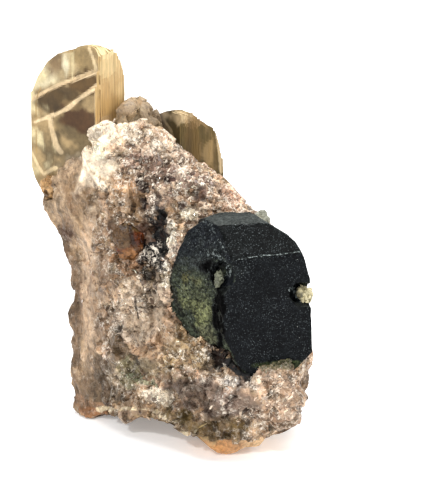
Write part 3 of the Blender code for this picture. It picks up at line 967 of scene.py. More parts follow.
@dataclass
class BrokenRock:
    """The broken piece of quartz and feldspar that carries every crystal."""

    node: str = "quartz_feldspar_matrix"
    neighbours: tuple[str, ...] = (
        "triphylite_crystal",
        "pale_muscovite_book",
        "olive_muscovite_book",
        "smoky_quartz",
        "feldspar_foot",
        "quartz_knob",
        "rusty_feldspar",
        "tan_feldspar",
    )
    first_voxel: float = 0.28
    voxel: float = 0.17
    most_triangles: int = 192000
    socket_reach: float = 1.0
    overlap: float = 0.08
    lump_size: float = 4.5
    lump_depth: float = 0.3
    block_size: float = 2.4
    block_step: float = 0.24
    block_slope: float = 0.36
    grain_size: float = 1.0
    grain_step: float = 0.10
    grain_slope: float = 0.40
    calm_size: float = 3.4
    cleavage_step: float = 0.17
    cleavage_size: float = 0.62
    groove_depth: float = 0.14
    hollow_share: float = 0.09
    hollow_depth: float = 0.28
    hollow_shade: float = 0.6
    pocked: Patch = Patch((1.5, -3, 29), (6, 5, 5.5), amount=0.4)
    block_salt: int = 11
    grain_salt: int = 23
    ragged_salt: int = 95
    highest: float = 0.42
    deepest: float = 2.5
    fibre_depth: float = 0.26
    fine_depth: float = 0.05
    crumb_size: float = 0.42
    sole_height: float = 0.35
    ridge_reach: float = 2.2
    flank_left: float = -7.4
    base_colour: Colour = (160, 136, 109)
    palette: tuple[tuple[Colour, float], ...] = (
        ((190, 166, 139), 0.27),
        ((162, 130, 103), 0.24),
        ((198, 164, 137), 0.16),
        ((142, 122, 94), 0.13),
        ((110, 84, 62), 0.13),
        ((80, 58, 44), 0.07),
    )
    calm_colour: Colour = (138, 112, 88)
    under: Curve = ROCK_UNDER

    def build(self) -> Piece:
        """Models the rock.

        Returns:
            The rock's piece.
        """
        piece = copy_of_node(self.node, "broken_rock", self.first_voxel)
        self._close_sockets(piece)
        points, _ = surface(piece)
        ridge = piece.vertex_groups.new(name="ridge")
        near = (np.abs(points[:, 0] - self.flank_left) < self.ridge_reach) & (points[:, 1] < 4.0)
        near = near & (points[:, 2] > 1.0)
        ridge.add(np.flatnonzero(near).tolist(), 1.0, "REPLACE")
        apply_modifier(piece, "SMOOTH", factor=0.8, iterations=30, vertex_group="ridge")
        remesh(piece, self.voxel)
        self._break_surface(piece)
        triangles = sum(len(face.vertices) - 2 for face in piece.data.polygons)
        ratio = min(1.0, self.most_triangles / triangles)
        apply_modifier(piece, "DECIMATE", ratio=ratio, vertex_group="rear", vertex_group_factor=1.0)
        settled, _ = surface(piece)
        settled[:, 2] = np.maximum(settled[:, 2], 0.0)
        place_vertices(piece, settled)
        self._colour(piece.data)
        shade(piece, None)
        add_to_specimen(piece, RockFinish().make(), "quartz_feldspar", self.node)
        return piece

    def _near_crystals(self, points: Array, normals: Array) -> tuple[Array, Array]:
        """Measures how near the crystals are.

        Args:
            points: Places in millimetres.
            normals: The rock's normals there.

        Returns:
            The distance to the nearest crystal, and how far the rock faces it, from -1 to 1.
        """
        corners: list[Vector] = []
        faces: list[list[int]] = []
        for node in self.neighbours:
            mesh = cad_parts[node].data
            faces += [[len(corners) + index for index in face.vertices] for face in mesh.polygons]
            corners += [vertex.co / MM for vertex in mesh.vertices]
        tree = BVHTree.FromPolygons(corners, faces)
        distance = np.full(len(points), 9.0)
        facing = np.zeros(len(points))
        for index, (point, normal) in enumerate(zip(points.tolist(), normals)):
            found, _, _, apart = tree.find_nearest(point, 3.0)
            if found is not None:
                distance[index] = apart
                facing[index] = np.dot(np.array(found) - point, normal) / max(apart, 0.001)
        return distance, facing

    def _close_sockets(self, piece: Piece) -> None:
        """Brings the walls of each socket onto its crystal.

        Args:
            piece: The rock's piece.
        """
        points, normals = surface(piece)
        distance, facing = self._near_crystals(points, normals)
        hidden = ease(facing, 0.2, 0.6) * (1 - ease(distance, 0.45, self.socket_reach))
        place_vertices(piece, points + normals * (hidden * (distance + self.overlap))[:, None])

    def _break_surface(self, piece: Piece) -> None:
        """Breaks the surface into facets, grains, fibres and clefts.

        Args:
            piece: The rock's piece.
        """
        points, normals = surface(piece)
        distance, facing = self._near_crystals(points, normals)
        open_air = 1 - (1 - ease(distance, 0.05, 0.3)) * ease(facing, -0.2, 0.4)
        piece.data.attributes.new("rest", "FLOAT_VECTOR", "POINT").data.foreach_set("vector", points.ravel())
        ragged = soft_noise(points, 1.6, self.ragged_salt, 2)
        flank = self._flank(points, ragged)
        lively = 1 - 0.45 * self._calm(points)
        blocks = find_cells(points, self.block_size, self.block_salt)
        grains = find_cells(points, self.grain_size, self.grain_salt)
        height = self.lump_depth * soft_noise(points, self.lump_size, 5)
        height += facet_height(blocks, self.block_step, self.block_slope, 50) * (1 - 0.75 * flank)
        height += facet_height(grains, self.grain_step, self.grain_slope, 60) * (1 - 0.7 * flank) * lively
        height += self._cleavage(points, blocks) * (1 - 0.8 * flank) * lively
        height += self.fibre_depth * soft_noise(points / (1.0, 1.0, 1.9), 1.3, 75, 4) * flank
        height -= self.groove_depth * (blocks.rim < 0.05) * (blocks.random(81) > 0.5) * (1 - flank)
        height -= self.hollow_depth * self._hollows(points, grains) * (1 - flank) * (grains.rim > 0.04)
        height += self.fine_depth * soft_noise(points, 0.6, 90, 2)
        for cleft in ROCK_CLEFTS_AND_SHADE:
            height -= cleft.depth * cleft.weight(points, ragged)
        height = np.clip(height, -self.deepest, self.highest)
        for swell in ROCK_SWELLS:
            height -= swell.depth * swell.weight(points, 0.3 * ragged)
        moved = points + normals * (height * open_air)[:, None]
        rear = piece.vertex_groups.new(name="rear")
        rows = (0.3 + 0.7 * ease(normals[:, 1] - 0.5 * normals[:, 2], 0.1, 0.6)).round(1)
        for weight in np.unique(rows):
            rear.add(np.flatnonzero(rows == weight).tolist(), float(weight), "REPLACE")
        standing = points[:, 2] < self.sole_height
        moved[standing, 2] = points[standing, 2]
        lowest = np.interp(points[:, 0] + 0.5 * ragged, *self.under) * (1 - ease(points[:, 1], 2.5, 5.0))
        moved[:, 2] = np.maximum(moved[:, 2], lowest)
        place_vertices(piece, moved)

    def _cleavage(self, points: Array, blocks: Cells) -> Array:
        """Steps in straight parallel rows, as feldspar splits, in some of the blocks.

        Args:
            points: Places in millimetres.
            blocks: The block of each place.

        Returns:
            The steps' height at each place.
        """
        way = np.stack([blocks.random(91 + k) for k in range(3)], axis=1) * 2 - 1
        way /= np.linalg.norm(way, axis=1, keepdims=True)
        along = (points * way).sum(axis=1) / (self.cleavage_size * (0.6 + 0.8 * blocks.random(94)))
        return self.cleavage_step * (along - np.floor(along) - 0.5) * (blocks.random(95) > 0.35)

    def _flank(self, points: Array, ragged: Array) -> Array:
        """Says how far each place lies on the fibrous left flank, from 0 to 1."""
        return 1 - ease(points[:, 0] + 1.3 * ragged, self.flank_left - 2.2, self.flank_left + 0.6)

    def _calm(self, points: Array) -> Array:
        """Says where the rock is one smooth glassy piece of quartz rather than many grains, from 0 to 1."""
        return ease(soft_noise(points, self.calm_size, 97, 3), 0.05, 0.45)

    def _colour(self, mesh: Mesh) -> None:
        """Gives each grain its mineral, tone and gloss, and paints shade into the clefts.

        Args:
            mesh: The rock's mesh.
        """
        rest = mesh.attributes["rest"]
        points = over_faces(mesh, read(rest.data, "vector", 3))
        mesh.attributes.remove(rest)
        grains = find_cells(points, self.grain_size, self.grain_salt)
        crumbs = find_cells(points, self.crumb_size, 131)
        colours = np.tile(linear(self.base_colour), (len(points), 1))
        ragged = soft_noise(points, 1.6, self.ragged_salt, 3)
        flank = self._flank(points, ragged)
        # sparkle: how many painted glints each place has.
        sparkle = np.full(len(points), 0.45)
        for patch in ROCK_PATCHES + ROCK_CLEFTS_AND_SHADE:
            weight = patch.weight(points, ragged)
            sparkle = sparkle * (1 - weight) + patch.sparkle * weight
        calm = self._calm(points) * (1 - ease(sparkle, 0.6, 0.9))
        keep(mesh, "FACE", sparkle=sparkle * (1 - 0.55 * calm))
        blocks = find_cells(points, self.block_size, self.block_salt)
        minerals = self._minerals(colours, grains, points)
        minerals += (linear(self.calm_colour) - minerals) * (0.6 * calm)[:, None]
        warmth = np.outer(blocks.random(144) - 0.5, (0.06, 0.0, -0.16))
        colours = (minerals * (1 + warmth)) * (1 - flank[:, None]) + colours * flank[:, None]
        strength = 0.85 + 0.15 * grains.random(140)[:, None]
        patched = blend_patches(points, colours, ROCK_PATCHES, ragged)
        colours = colours * (1 - strength) + patched * strength
        # The clefts' near-black colours are painted shade.
        colours = blend_patches(points, colours, ROCK_CLEFTS_AND_SHADE, 1.6 * soft_noise(points, 0.8, 96, 4))
        tone = (0.78 + 0.44 * blocks.random(143)) * (0.8 + 0.4 * grains.random(141))
        tone = tone + 0.24 * (crumbs.random(142) - 0.5)
        tone = tone + (0.9 - tone) * 0.3 * calm
        tone = tone * (1 - self.hollow_shade * self._hollows(points, grains) * ease(grains.rim, 0.05, 0.25))
        tone = tone * (1 - flank) + flank
        colours = np.clip(colours * tone[:, None], 0.005, 0.9)
        gloss = 0.9 * grains.random(145) ** 2 + 0.6 * crumbs.random(146) ** 3 + 0.3 * calm
        gloss = np.clip(gloss, 0, 1) * (1 - 0.6 * flank) * ease(colours.mean(axis=1), 0.0, 0.08)
        keep(mesh, "FACE", tint=colours, gloss=gloss, fibre=flank)

    def _hollows(self, points: Array, grains: Cells) -> Array:
        """Says which grains have fallen out and left a hollow: 1 for a hollow, else 0."""
        share = self.hollow_share + self.pocked.amount * self.pocked.weight(points, np.zeros(len(points)))
        return (grains.random(82) < share).astype(float)

    def _minerals(self, base: Array, grains: Cells, points: Array) -> Array:
        """Mixes each grain's own mineral into the base colour.

        Args:
            base: The base colours.
            grains: The grain of each place.
            points: The places in millimetres.

        Returns:
            A colour for each place.
        """
        pick = np.clip(0.15 + 0.7 * grains.random(150) + 0.4 * soft_noise(points, 2.6, 151), 0, 0.999)
        limit = 0.0
        colours = base.copy()
        for colour, share in self.palette:
            chosen = (pick >= limit) & (pick < limit + share)
            colours[chosen] = 0.35 * base[chosen] + 0.65 * linear(colour)
            limit += share
        return colours


# ---- loose grains


@dataclass
class LooseGrains:
    """Small sharp grains that stand on the rock, all of one finish, joined in one mesh.

    Attributes:
        sizes: The smallest and largest grain, in millimetres.
        local_share: How much of their colour is the rock's own.
        build_ratio: Their length, width and thickness, as shares of their size.
        homes: Where the grains lie, each with its colour and its share.
        tilt: How unevenly they lie on the rock.
        along: The way that their length runs, or None where it differs from one to the next.
        shapes: How many shapes they have.
        cuts: How often each shape is cut.
    """

    name: str
    slot: str
    finish: GrainFinish
    count: int
    sizes: tuple[float, float]
    seed: int
    local_share: float
    build_ratio: Vec3
    homes: Marks
    tilt: float = 0.55
    along: Vec3 | None = None
    shapes: int = 6
    cuts: int = 5

    def build(self, rock: Piece) -> None:
        """Scatters the grains.

        Args:
            rock: The piece that they stand on.
        """
        dice = np.random.default_rng(self.seed)
        places, normals, colours = self._homes_on(rock, dice)
        forms = [self._grain(index) for index in range(self.shapes)]
        which = dice.integers(0, self.shapes, len(places))
        sizes = self.sizes[0] + (self.sizes[1] - self.sizes[0]) * dice.random(len(places)) ** 2.2
        points, corners, tints, start = [], [], [], 0
        for index, (grid, faces) in enumerate(forms):
            mine = np.flatnonzero(which == index)
            turns = self._turns(normals[mine], dice)
            stretch = (0.7 + 0.6 * dice.random((len(mine), 1, 3))) * self.build_ratio
            local = np.einsum("nij,nvj->nvi", turns, grid[None] * stretch) * sizes[mine][:, None, None] / 2
            world = local + places[mine][:, None]
            world[:, :, 2] = np.maximum(world[:, :, 2], 0.02)
            points.append(world.reshape(-1, 3))
            offset = start + np.arange(len(mine))[:, None, None] * len(grid)
            corners.append((faces[None] + offset).reshape(-1, 3))
            start += len(mine) * len(grid)
            light = 0.55 + 0.95 * dice.random((len(mine), 1)) ** 1.4
            tints.append(np.repeat(np.clip(colours[mine] * light, 0.004, 0.92), len(faces), axis=0))
        mesh = bpy.data.meshes.new(self.name)
        mesh.from_pydata(np.concatenate(points) * MM, (), np.concatenate(corners))
        mesh.validate()
        keep(mesh, "FACE", tint=np.concatenate(tints))
        piece = bpy.data.objects.new(self.name, mesh)
        bpy.context.scene.collection.objects.link(piece)
        shade(piece, None)
        add_to_specimen(piece, self.finish.make(), self.slot)

    def _homes_on(self, rock: Piece, dice: np.random.Generator) -> tuple[Array, ...]:
        """Picks places on the rock.

        Args:
            rock: The piece that the grains stand on.
            dice: The random numbers.

        Returns:
            The places in millimetres, the rock's normals there, and the grains' colours.
        """
        mesh = rock.data
        middles = over_faces(mesh, surface(rock)[0])
        ragged = soft_noise(middles, 1.2, self.seed, 2)
        weights = np.stack([home.weight(middles, ragged) * home.amount for home in self.homes])
        local = read(mesh.attributes["tint"].data, "color", 4)[:, :3]
        lively = read(mesh.attributes["sparkle"].data, "value")
        bright = np.clip(local.mean(axis=1) / 0.25, 0.0, 1.0) ** 1.5
        total = weights.sum(axis=0) * read(mesh.polygons, "area") * bright * (0.05 + lively) ** 1.3
        chosen = dice.choice(len(middles), self.count, p=total / total.sum())
        shares = weights[:, chosen] / weights[:, chosen].sum(axis=0)
        pick = (dice.random(self.count) > np.cumsum(shares, axis=0)).sum(axis=0).clip(0, len(self.homes) - 1)
        colours = linear(*(home.colour for home in self.homes))[pick]
        colours = local[chosen] * self.local_share + colours * (1 - self.local_share)
        return middles[chosen], read(mesh.polygons, "normal", 3)[chosen], colours

    def _grain(self, index: int) -> tuple[Array, Array]:
        """Models one broken grain, about 2 across.

        Args:
            index: Picks the cuts.

        Returns:
            Its corners and its triangles.
        """
        dice = np.random.default_rng(900 + index)
        bpy.ops.mesh.primitive_cube_add(size=1.8)
        grain = bpy.context.active_object
        bpy.ops.object.mode_set(mode="EDIT")
        for _ in range(self.cuts):
            normal = dice.normal(size=3)
            normal /= np.linalg.norm(normal)
            bpy.ops.mesh.select_all(action="SELECT")
            cut = tuple(normal * (0.35 + 0.45 * dice.random()))
            bpy.ops.mesh.bisect(plane_co=cut, plane_no=tuple(normal), use_fill=True, clear_outer=True)
        bpy.ops.mesh.select_all(action="SELECT")
        bpy.ops.mesh.dissolve_limited(angle_limit=math.radians(8))
        bpy.ops.mesh.quads_convert_to_tris()
        bpy.ops.object.mode_set(mode="OBJECT")
        grid = np.array([vertex.co[:] for vertex in grain.data.vertices])
        faces = np.array([face.vertices[:] for face in grain.data.polygons])
        bpy.data.meshes.remove(grain.data)
        return grid, faces

    def _turns(self, normals: Array, dice: np.random.Generator) -> Array:
        """Turns the grains to lie on the rock.

        Args:
            normals: The rock's normals.
            dice: The random numbers.

        Returns:
            A rotation matrix for each grain.
        """
        up = normals + self.tilt * dice.normal(size=normals.shape)
        up /= np.linalg.norm(up, axis=1, keepdims=True)
        way = dice.normal(size=normals.shape)
        if self.along is not None:
            way = self.along + 0.25 * way
        way -= (way * up).sum(axis=1, keepdims=True) * up
        way /= np.linalg.norm(way, axis=1, keepdims=True)
        return np.stack([way, np.cross(up, way), up], axis=2)


GRAIN_SETS = (
    LooseGrains(
        "sparkling_grains", "quartz_feldspar", GrainFinish("sparkling_grain", 0.22, 0.5),
        1900, (0.14, 0.6), 71, 0.7, (1.15, 0.85, 0.5),
        (
            Patch((0, -4, 24), (9, 8, 10), (206, 186, 162), 0.5),
            Patch((0.5, -8, 10), (9, 8, 8), (196, 176, 150), 0.5),
            Patch((-5.3, 0.7, 33), (3.6, 4, 3), (226, 208, 182), 0.4),
            Patch((7, 0.7, 27.2), (3, 4, 2), (214, 180, 154), 0.6),
            Patch((12.7, -12, 8), (4, 5, 4), (206, 172, 146), 0.6),
            Patch((0, 4, 16), (16, 14, 18), (186, 162, 134), 0.06),
        ),
    ),
    LooseGrains(
        "brown_grains", "quartz_feldspar", GrainFinish("brown_grain", 0.3, 0.2),
        900, (0.16, 0.7), 72, 0.3, (1.1, 0.9, 0.6),
        (
            Patch((-1.2, -4.4, 24.3), (1.4, 3, 3.4), (24, 17, 22), 4),
            Patch((-2.3, -5.4, 19.6), (1.2, 2.5, 2), (50, 38, 32), 5),
            Patch((2.9, -2.6, 29), (3.2, 3, 2), (92, 66, 52), 1.2),
            Patch((-2.4, -2, 30.6), (3.2, 3, 2), (92, 66, 50), 1.2),
            Patch((1.8, -8.5, 11.9), (3.6, 4, 3), (112, 84, 56), 0.8),
            Patch((5.5, -10.8, 12.4), (1.6, 2.5, 2.2), (46, 34, 28), 6),
            Patch((4, -11.8, 6.9), (3.6, 3.5, 2.4), (90, 72, 62), 0.8),
            Patch((-4.8, -3.8, 23), (2.3, 3, 3.2), (104, 78, 52), 1.6),
            Patch((0, -4, 18), (8, 9, 16), (96, 70, 52), 0.2),
        ),
    ),
    # Raised slivers; their near-white colour paints crisp glints on the rock, the cleft's white glints among
    # them.
    LooseGrains(
        "white_glint_slivers", "quartz_feldspar", GrainFinish("white_glint_sliver", 0.25, 0.5),
        1500, (0.12, 0.4), 73, 0.15, (1.5, 0.45, 0.35),
        (
            Patch((-1.2, -7.2, 5.6), (1.8, 3, 1.3), (232, 218, 196), 0.8),
            Patch((7, -12.4, 8.7), (1.6, 3, 1.1), (228, 222, 212), 1),
            Patch((0.1, -5.2, 23), (1, 2, 2.6), (232, 222, 206), 1),
            Patch((-1.6, -5.2, 21.2), (1.2, 2, 0.9), (240, 232, 220), 7),
            Patch((2.6, -2.6, 29), (3.4, 3, 2.4), (236, 220, 200), 0.5),
            Patch((1, -4, 20), (7, 9, 16), (236, 220, 198), 0.2),
        ),
        tilt=0.8,
    ),
    # Raised slivers; their near-white colour paints the slanting glints on the lower right.
    LooseGrains(
        "slanting_glint_slivers", "quartz_feldspar", GrainFinish("slanting_glint_sliver", 0.25, 0.5),
        360, (0.16, 0.6), 75, 0.2, (1.7, 0.5, 0.35),
        (
            Patch((9.8, -12, 6.2), (4.2, 5, 3.2), (226, 206, 182), 0.6),
            Patch((12, -12.4, 7), (3, 5, 4), (226, 200, 174), 0.8),
            Patch((4.6, -11.4, 3.9), (4, 4, 1.2), (140, 120, 76), 0.3),
        ),
        tilt=0.4,
        along=(0.75, 0, 0.62),
    ),
    LooseGrains(
        "green_phosphate_crumbs", "pale_green_phosphate", GrainFinish("green_crumb", 0.4, 0.2),
        420, (0.12, 0.4), 74, 0.3, (1.1, 0.9, 0.6),
        (
            Patch((12, -12.6, 11.8), (3, 2.5, 0.5), (60, 66, 38), 1),
            Patch((8.5, -12, 11.2), (2, 2.5, 0.5), (110, 112, 88), 0.6),
            Patch((-3, -5.6, 7.6), (2.2, 3, 0.4), (146, 150, 120), 0.35),
        ),
    ),
)


# ---- the triphylite


@dataclass(frozen=True)
class CrystalFace:
    """A face of the crystal: a point on it, the way it faces, its colour with painted light and shade, and
    its roughness in millimetres.
    """

    point: Vec3
    normal: Vec3
    colour: Colour
    relief: float = 0.02


@dataclass
class Triphylite:
    """The large dark crystal with its worn edges and its crumbling greenish side."""

    node: str = "triphylite_crystal"
    voxel: float = 0.13
    most_triangles: int = 150000
    edge_width: float = 0.12
    chip_depth: float = 0.10
    grain_size: float = 0.7
    crumb_size: float = 0.32
    edge_wear: float = 0.22
    rough_relief: float = 0.12
    green_top: float = 24.0
    # Each face's colour holds its painted light: the crest and back are painted lighter with reflected top
    # light, and the front, slope and shoulder are darker shaded copies of the same near-black; the green
    # face's colour is its own greenish coating.
    front: CrystalFace = CrystalFace((10.75, -12.93, 17.8), (0.06, -0.99, -0.09), (11, 13, 15), 0.02)
    slope: CrystalFace = CrystalFace((10.65, -12.43, 24.9), (-0.04, -0.71, 0.70), (6, 8, 8), 0.015)
    crest: CrystalFace = CrystalFace((7.75, -9.33, 27.0), (-0.06, -0.22, 0.97), (52, 55, 53), 0.015)
    back: CrystalFace = CrystalFace((6.95, -7.43, 27.3), (0.02, 0.55, 0.84), (54, 56, 54), 0.03)
    shoulder: CrystalFace = CrystalFace((4.25, -10.43, 24.4), (-0.67, -0.65, 0.35), (19, 21, 24), 0.08)
    green: CrystalFace = CrystalFace((3.55, -9.93, 19.9), (-0.65, -0.75, -0.13), (42, 46, 36), 0.08)
    corner_point: Vec3 = (5.6, -7.4, 27.25)
    corner_way: Vec3 = (-0.34, 0.21, 0.917)
    crumbling: Marks = (
        Patch((5.4, -12.4, 21.8), (1.4, 2, 1.8)),
        Patch((2.5, -9.9, 17.5), (2.6, 4, 4.6), amount=0.65),
        Patch((3.6, -10.4, 24.6), (2.4, 3, 2.4), amount=0.5),
        Patch((15, -12.6, 19.6), (1.6, 2, 1.4), amount=0.9),
        Patch((12.2, -12.8, 11.6), (3.4, 2, 0.5), amount=0.8),
    )
    marks: Marks = (
        # Partly wear, partly painted highlight: the pale line along the front's top edge.
        Stroke(((7.2, 23.55), (9.9, 23.95), (12.4, 24.15), (14.8, 24.45)), 0.1, amount=0.7),
        # Painted highlight: the pale line along the crest's edge.
        Stroke(((7, 26.65), (9.1, 26.78), (10.8, 26.88)), 0.1, amount=0.5),
        Stroke(((0.4, 22.6), (1.3, 24.8), (2.4, 26), (3.4, 26.6)), 0.45, amount=0.5),
        Stroke(((3.4, 26.6), (4.7, 26.5), (5.3, 25.4), (6.3, 24.2)), 0.3, amount=0.5),
        Stroke(((4.4, 23.6), (5.6, 23.6), (6.6, 22.6), (6.6, 21.2), (5.6, 20.6)), 0.6, amount=0.52),
        Stroke(((0.3, 23.4), (0.2, 20), (1, 17), (3.4, 14.2)), 0.3, amount=0.34),
        Stroke(((13.2, 20.1), (13.7, 19.2), (14.6, 18.4)), 0.6, amount=0.6),
        Patch((3.6, -9.6, 24.4), (2.8, 9, 1.8), amount=0.35),
    )
    patches: Marks = (
        Patch((2.6, -10, 20), (1.7, 9, 1.3), (90, 84, 46), 0.75, blur=0.8),
        Patch((3, -10.5, 18.2), (2, 9, 3), (65, 68, 48), 0.6),
        Patch((3.3, -10.5, 16.4), (1.4, 9, 2.4), (84, 86, 57), 0.7, blur=0.8),
        Patch((4.4, -11, 14), (1.2, 9, 1.2), (70, 70, 52), 0.7),
        Patch((3.6, -10.5, 22.6), (4.4, 9, 2.2), (26, 29, 29), 0.92, blur=0.6),
        # Painted shade: black in and around the pit, at the top of the shadowed side.
        Patch((4.9, -12, 22.2), (1.9, 9, 2), SHADOW_BLACK, 1, blur=0.8),
        Stroke(((0.1, 23.4), (0.1, 19.6), (0.9, 16.6), (3.2, 13.8)), 0.35, (26, 25, 20), 0.85),
        # Painted shadow: the black band down the narrow shadowed side left of the front face.
        Stroke(((5.4, 21), (5.4, 18.4), (5.5, 15), (6, 12.8), (7.4, 11)), 1, SHADOW_BLACK, 1),
        Patch((14.2, -12.4, 19.5), (1.5, 9, 1.1), (22, 23, 22), 0.6, blur=0.9),
        Patch((12.6, -12.8, 11.3), (3, 9, 0.4), (44, 50, 28), 0.8),
    )

    def build(self) -> None:
        """Models and dresses the crystal."""
        piece = copy_of_node(self.node, "dark_triphylite", self.voxel)
        apply_modifier(piece, "SMOOTH", factor=0.5, iterations=5)
        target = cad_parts[self.node]
        apply_modifier(piece, "SHRINKWRAP", target=target, wrap_method="NEAREST_SURFACEPOINT")
        faces = (self.front, self.slope, self.crest, self.back, self.shoulder, self.green)
        points, normals = surface(piece)
        facing = np.stack([normals @ face.normal for face in faces])
        facing[-1, points[:, 2] > self.green_top] = -1
        best = facing.argmax(axis=0)
        away = np.stack([np.abs((points - face.point) @ face.normal) for face in faces])
        second = np.partition(away, 1, axis=0)[1]
        edge = np.exp(-second / self.edge_width)
        relief = np.array([face.relief for face in faces])[best]
        grains = find_cells(points, self.grain_size, 201)
        crumbs = find_cells(points, self.crumb_size, 211)
        ragged = soft_noise(points, 1.0, 203, 2)
        rough = blend_patches(points, np.zeros((len(points), 3)), self.crumbling, ragged)[:, 0]
        relief = np.maximum(relief, self.rough_relief * rough)
        height = relief * (facet_height(grains, 1.0, 1.6, 205) + 0.5 * soft_noise(points, 0.5, 207, 2))
        height += 0.35 * relief * facet_height(crumbs, 1.0, 2.5, 208) * (rough > 0.3)
        height -= self.chip_depth * edge * (soft_noise(points, 0.9, 209, 3) > 0.1)
        moved = points + normals * np.clip(height, -0.4, 0.2)[:, None]
        beyond = np.maximum((moved - self.corner_point) @ self.corner_way, 0)
        beyond = beyond * (points[:, 2] > self.green_top)
        place_vertices(piece, moved - np.outer(beyond, self.corner_way))
        # Each face takes its colour, with the painted light and shade of that face.
        colours = linear(*(face.colour for face in faces))[best]
        colours = blend_patches(points, colours, self.patches, soft_noise(points, 1.3, 213, 3))
        tone = 0.5 * (crumbs.random(214) - 0.5) + 0.4 * (grains.random(215) - 0.5)
        tone = 1 + tone * np.clip(relief * 20, 0.15, 1)
        ragged = soft_noise(points, 0.5, 217, 2)
        front = normals[:, 1] < -0.15
        marks = [front * mark.weight(points, 0.5 * ragged) * mark.amount for mark in self.marks]
        granular = np.maximum(rough, 0.9 * (best == faces.index(self.green)))
        keep(
            piece.data,
            "POINT",
            tint=np.clip(colours * tone[:, None], 0.001, 0.8),
            wear=np.maximum.reduce([self.edge_wear * edge] + marks),
            rough=np.clip(granular, 0.08, 1.0),
        )
        triangles = 2 * len(piece.data.polygons)
        apply_modifier(piece, "DECIMATE", ratio=min(1.0, self.most_triangles / triangles))
        shade(piece, 24)
        add_to_specimen(piece, TriphyliteFinish().make(), "triphylite", self.node)


# ---- the muscovite


@dataclass(frozen=True)
class Terrace:
    """A leaf of the display side that has broken off along a line: its height at both ends and its reach."""

    near_height: float
    far_height: float
    reach: float
    thickness: float


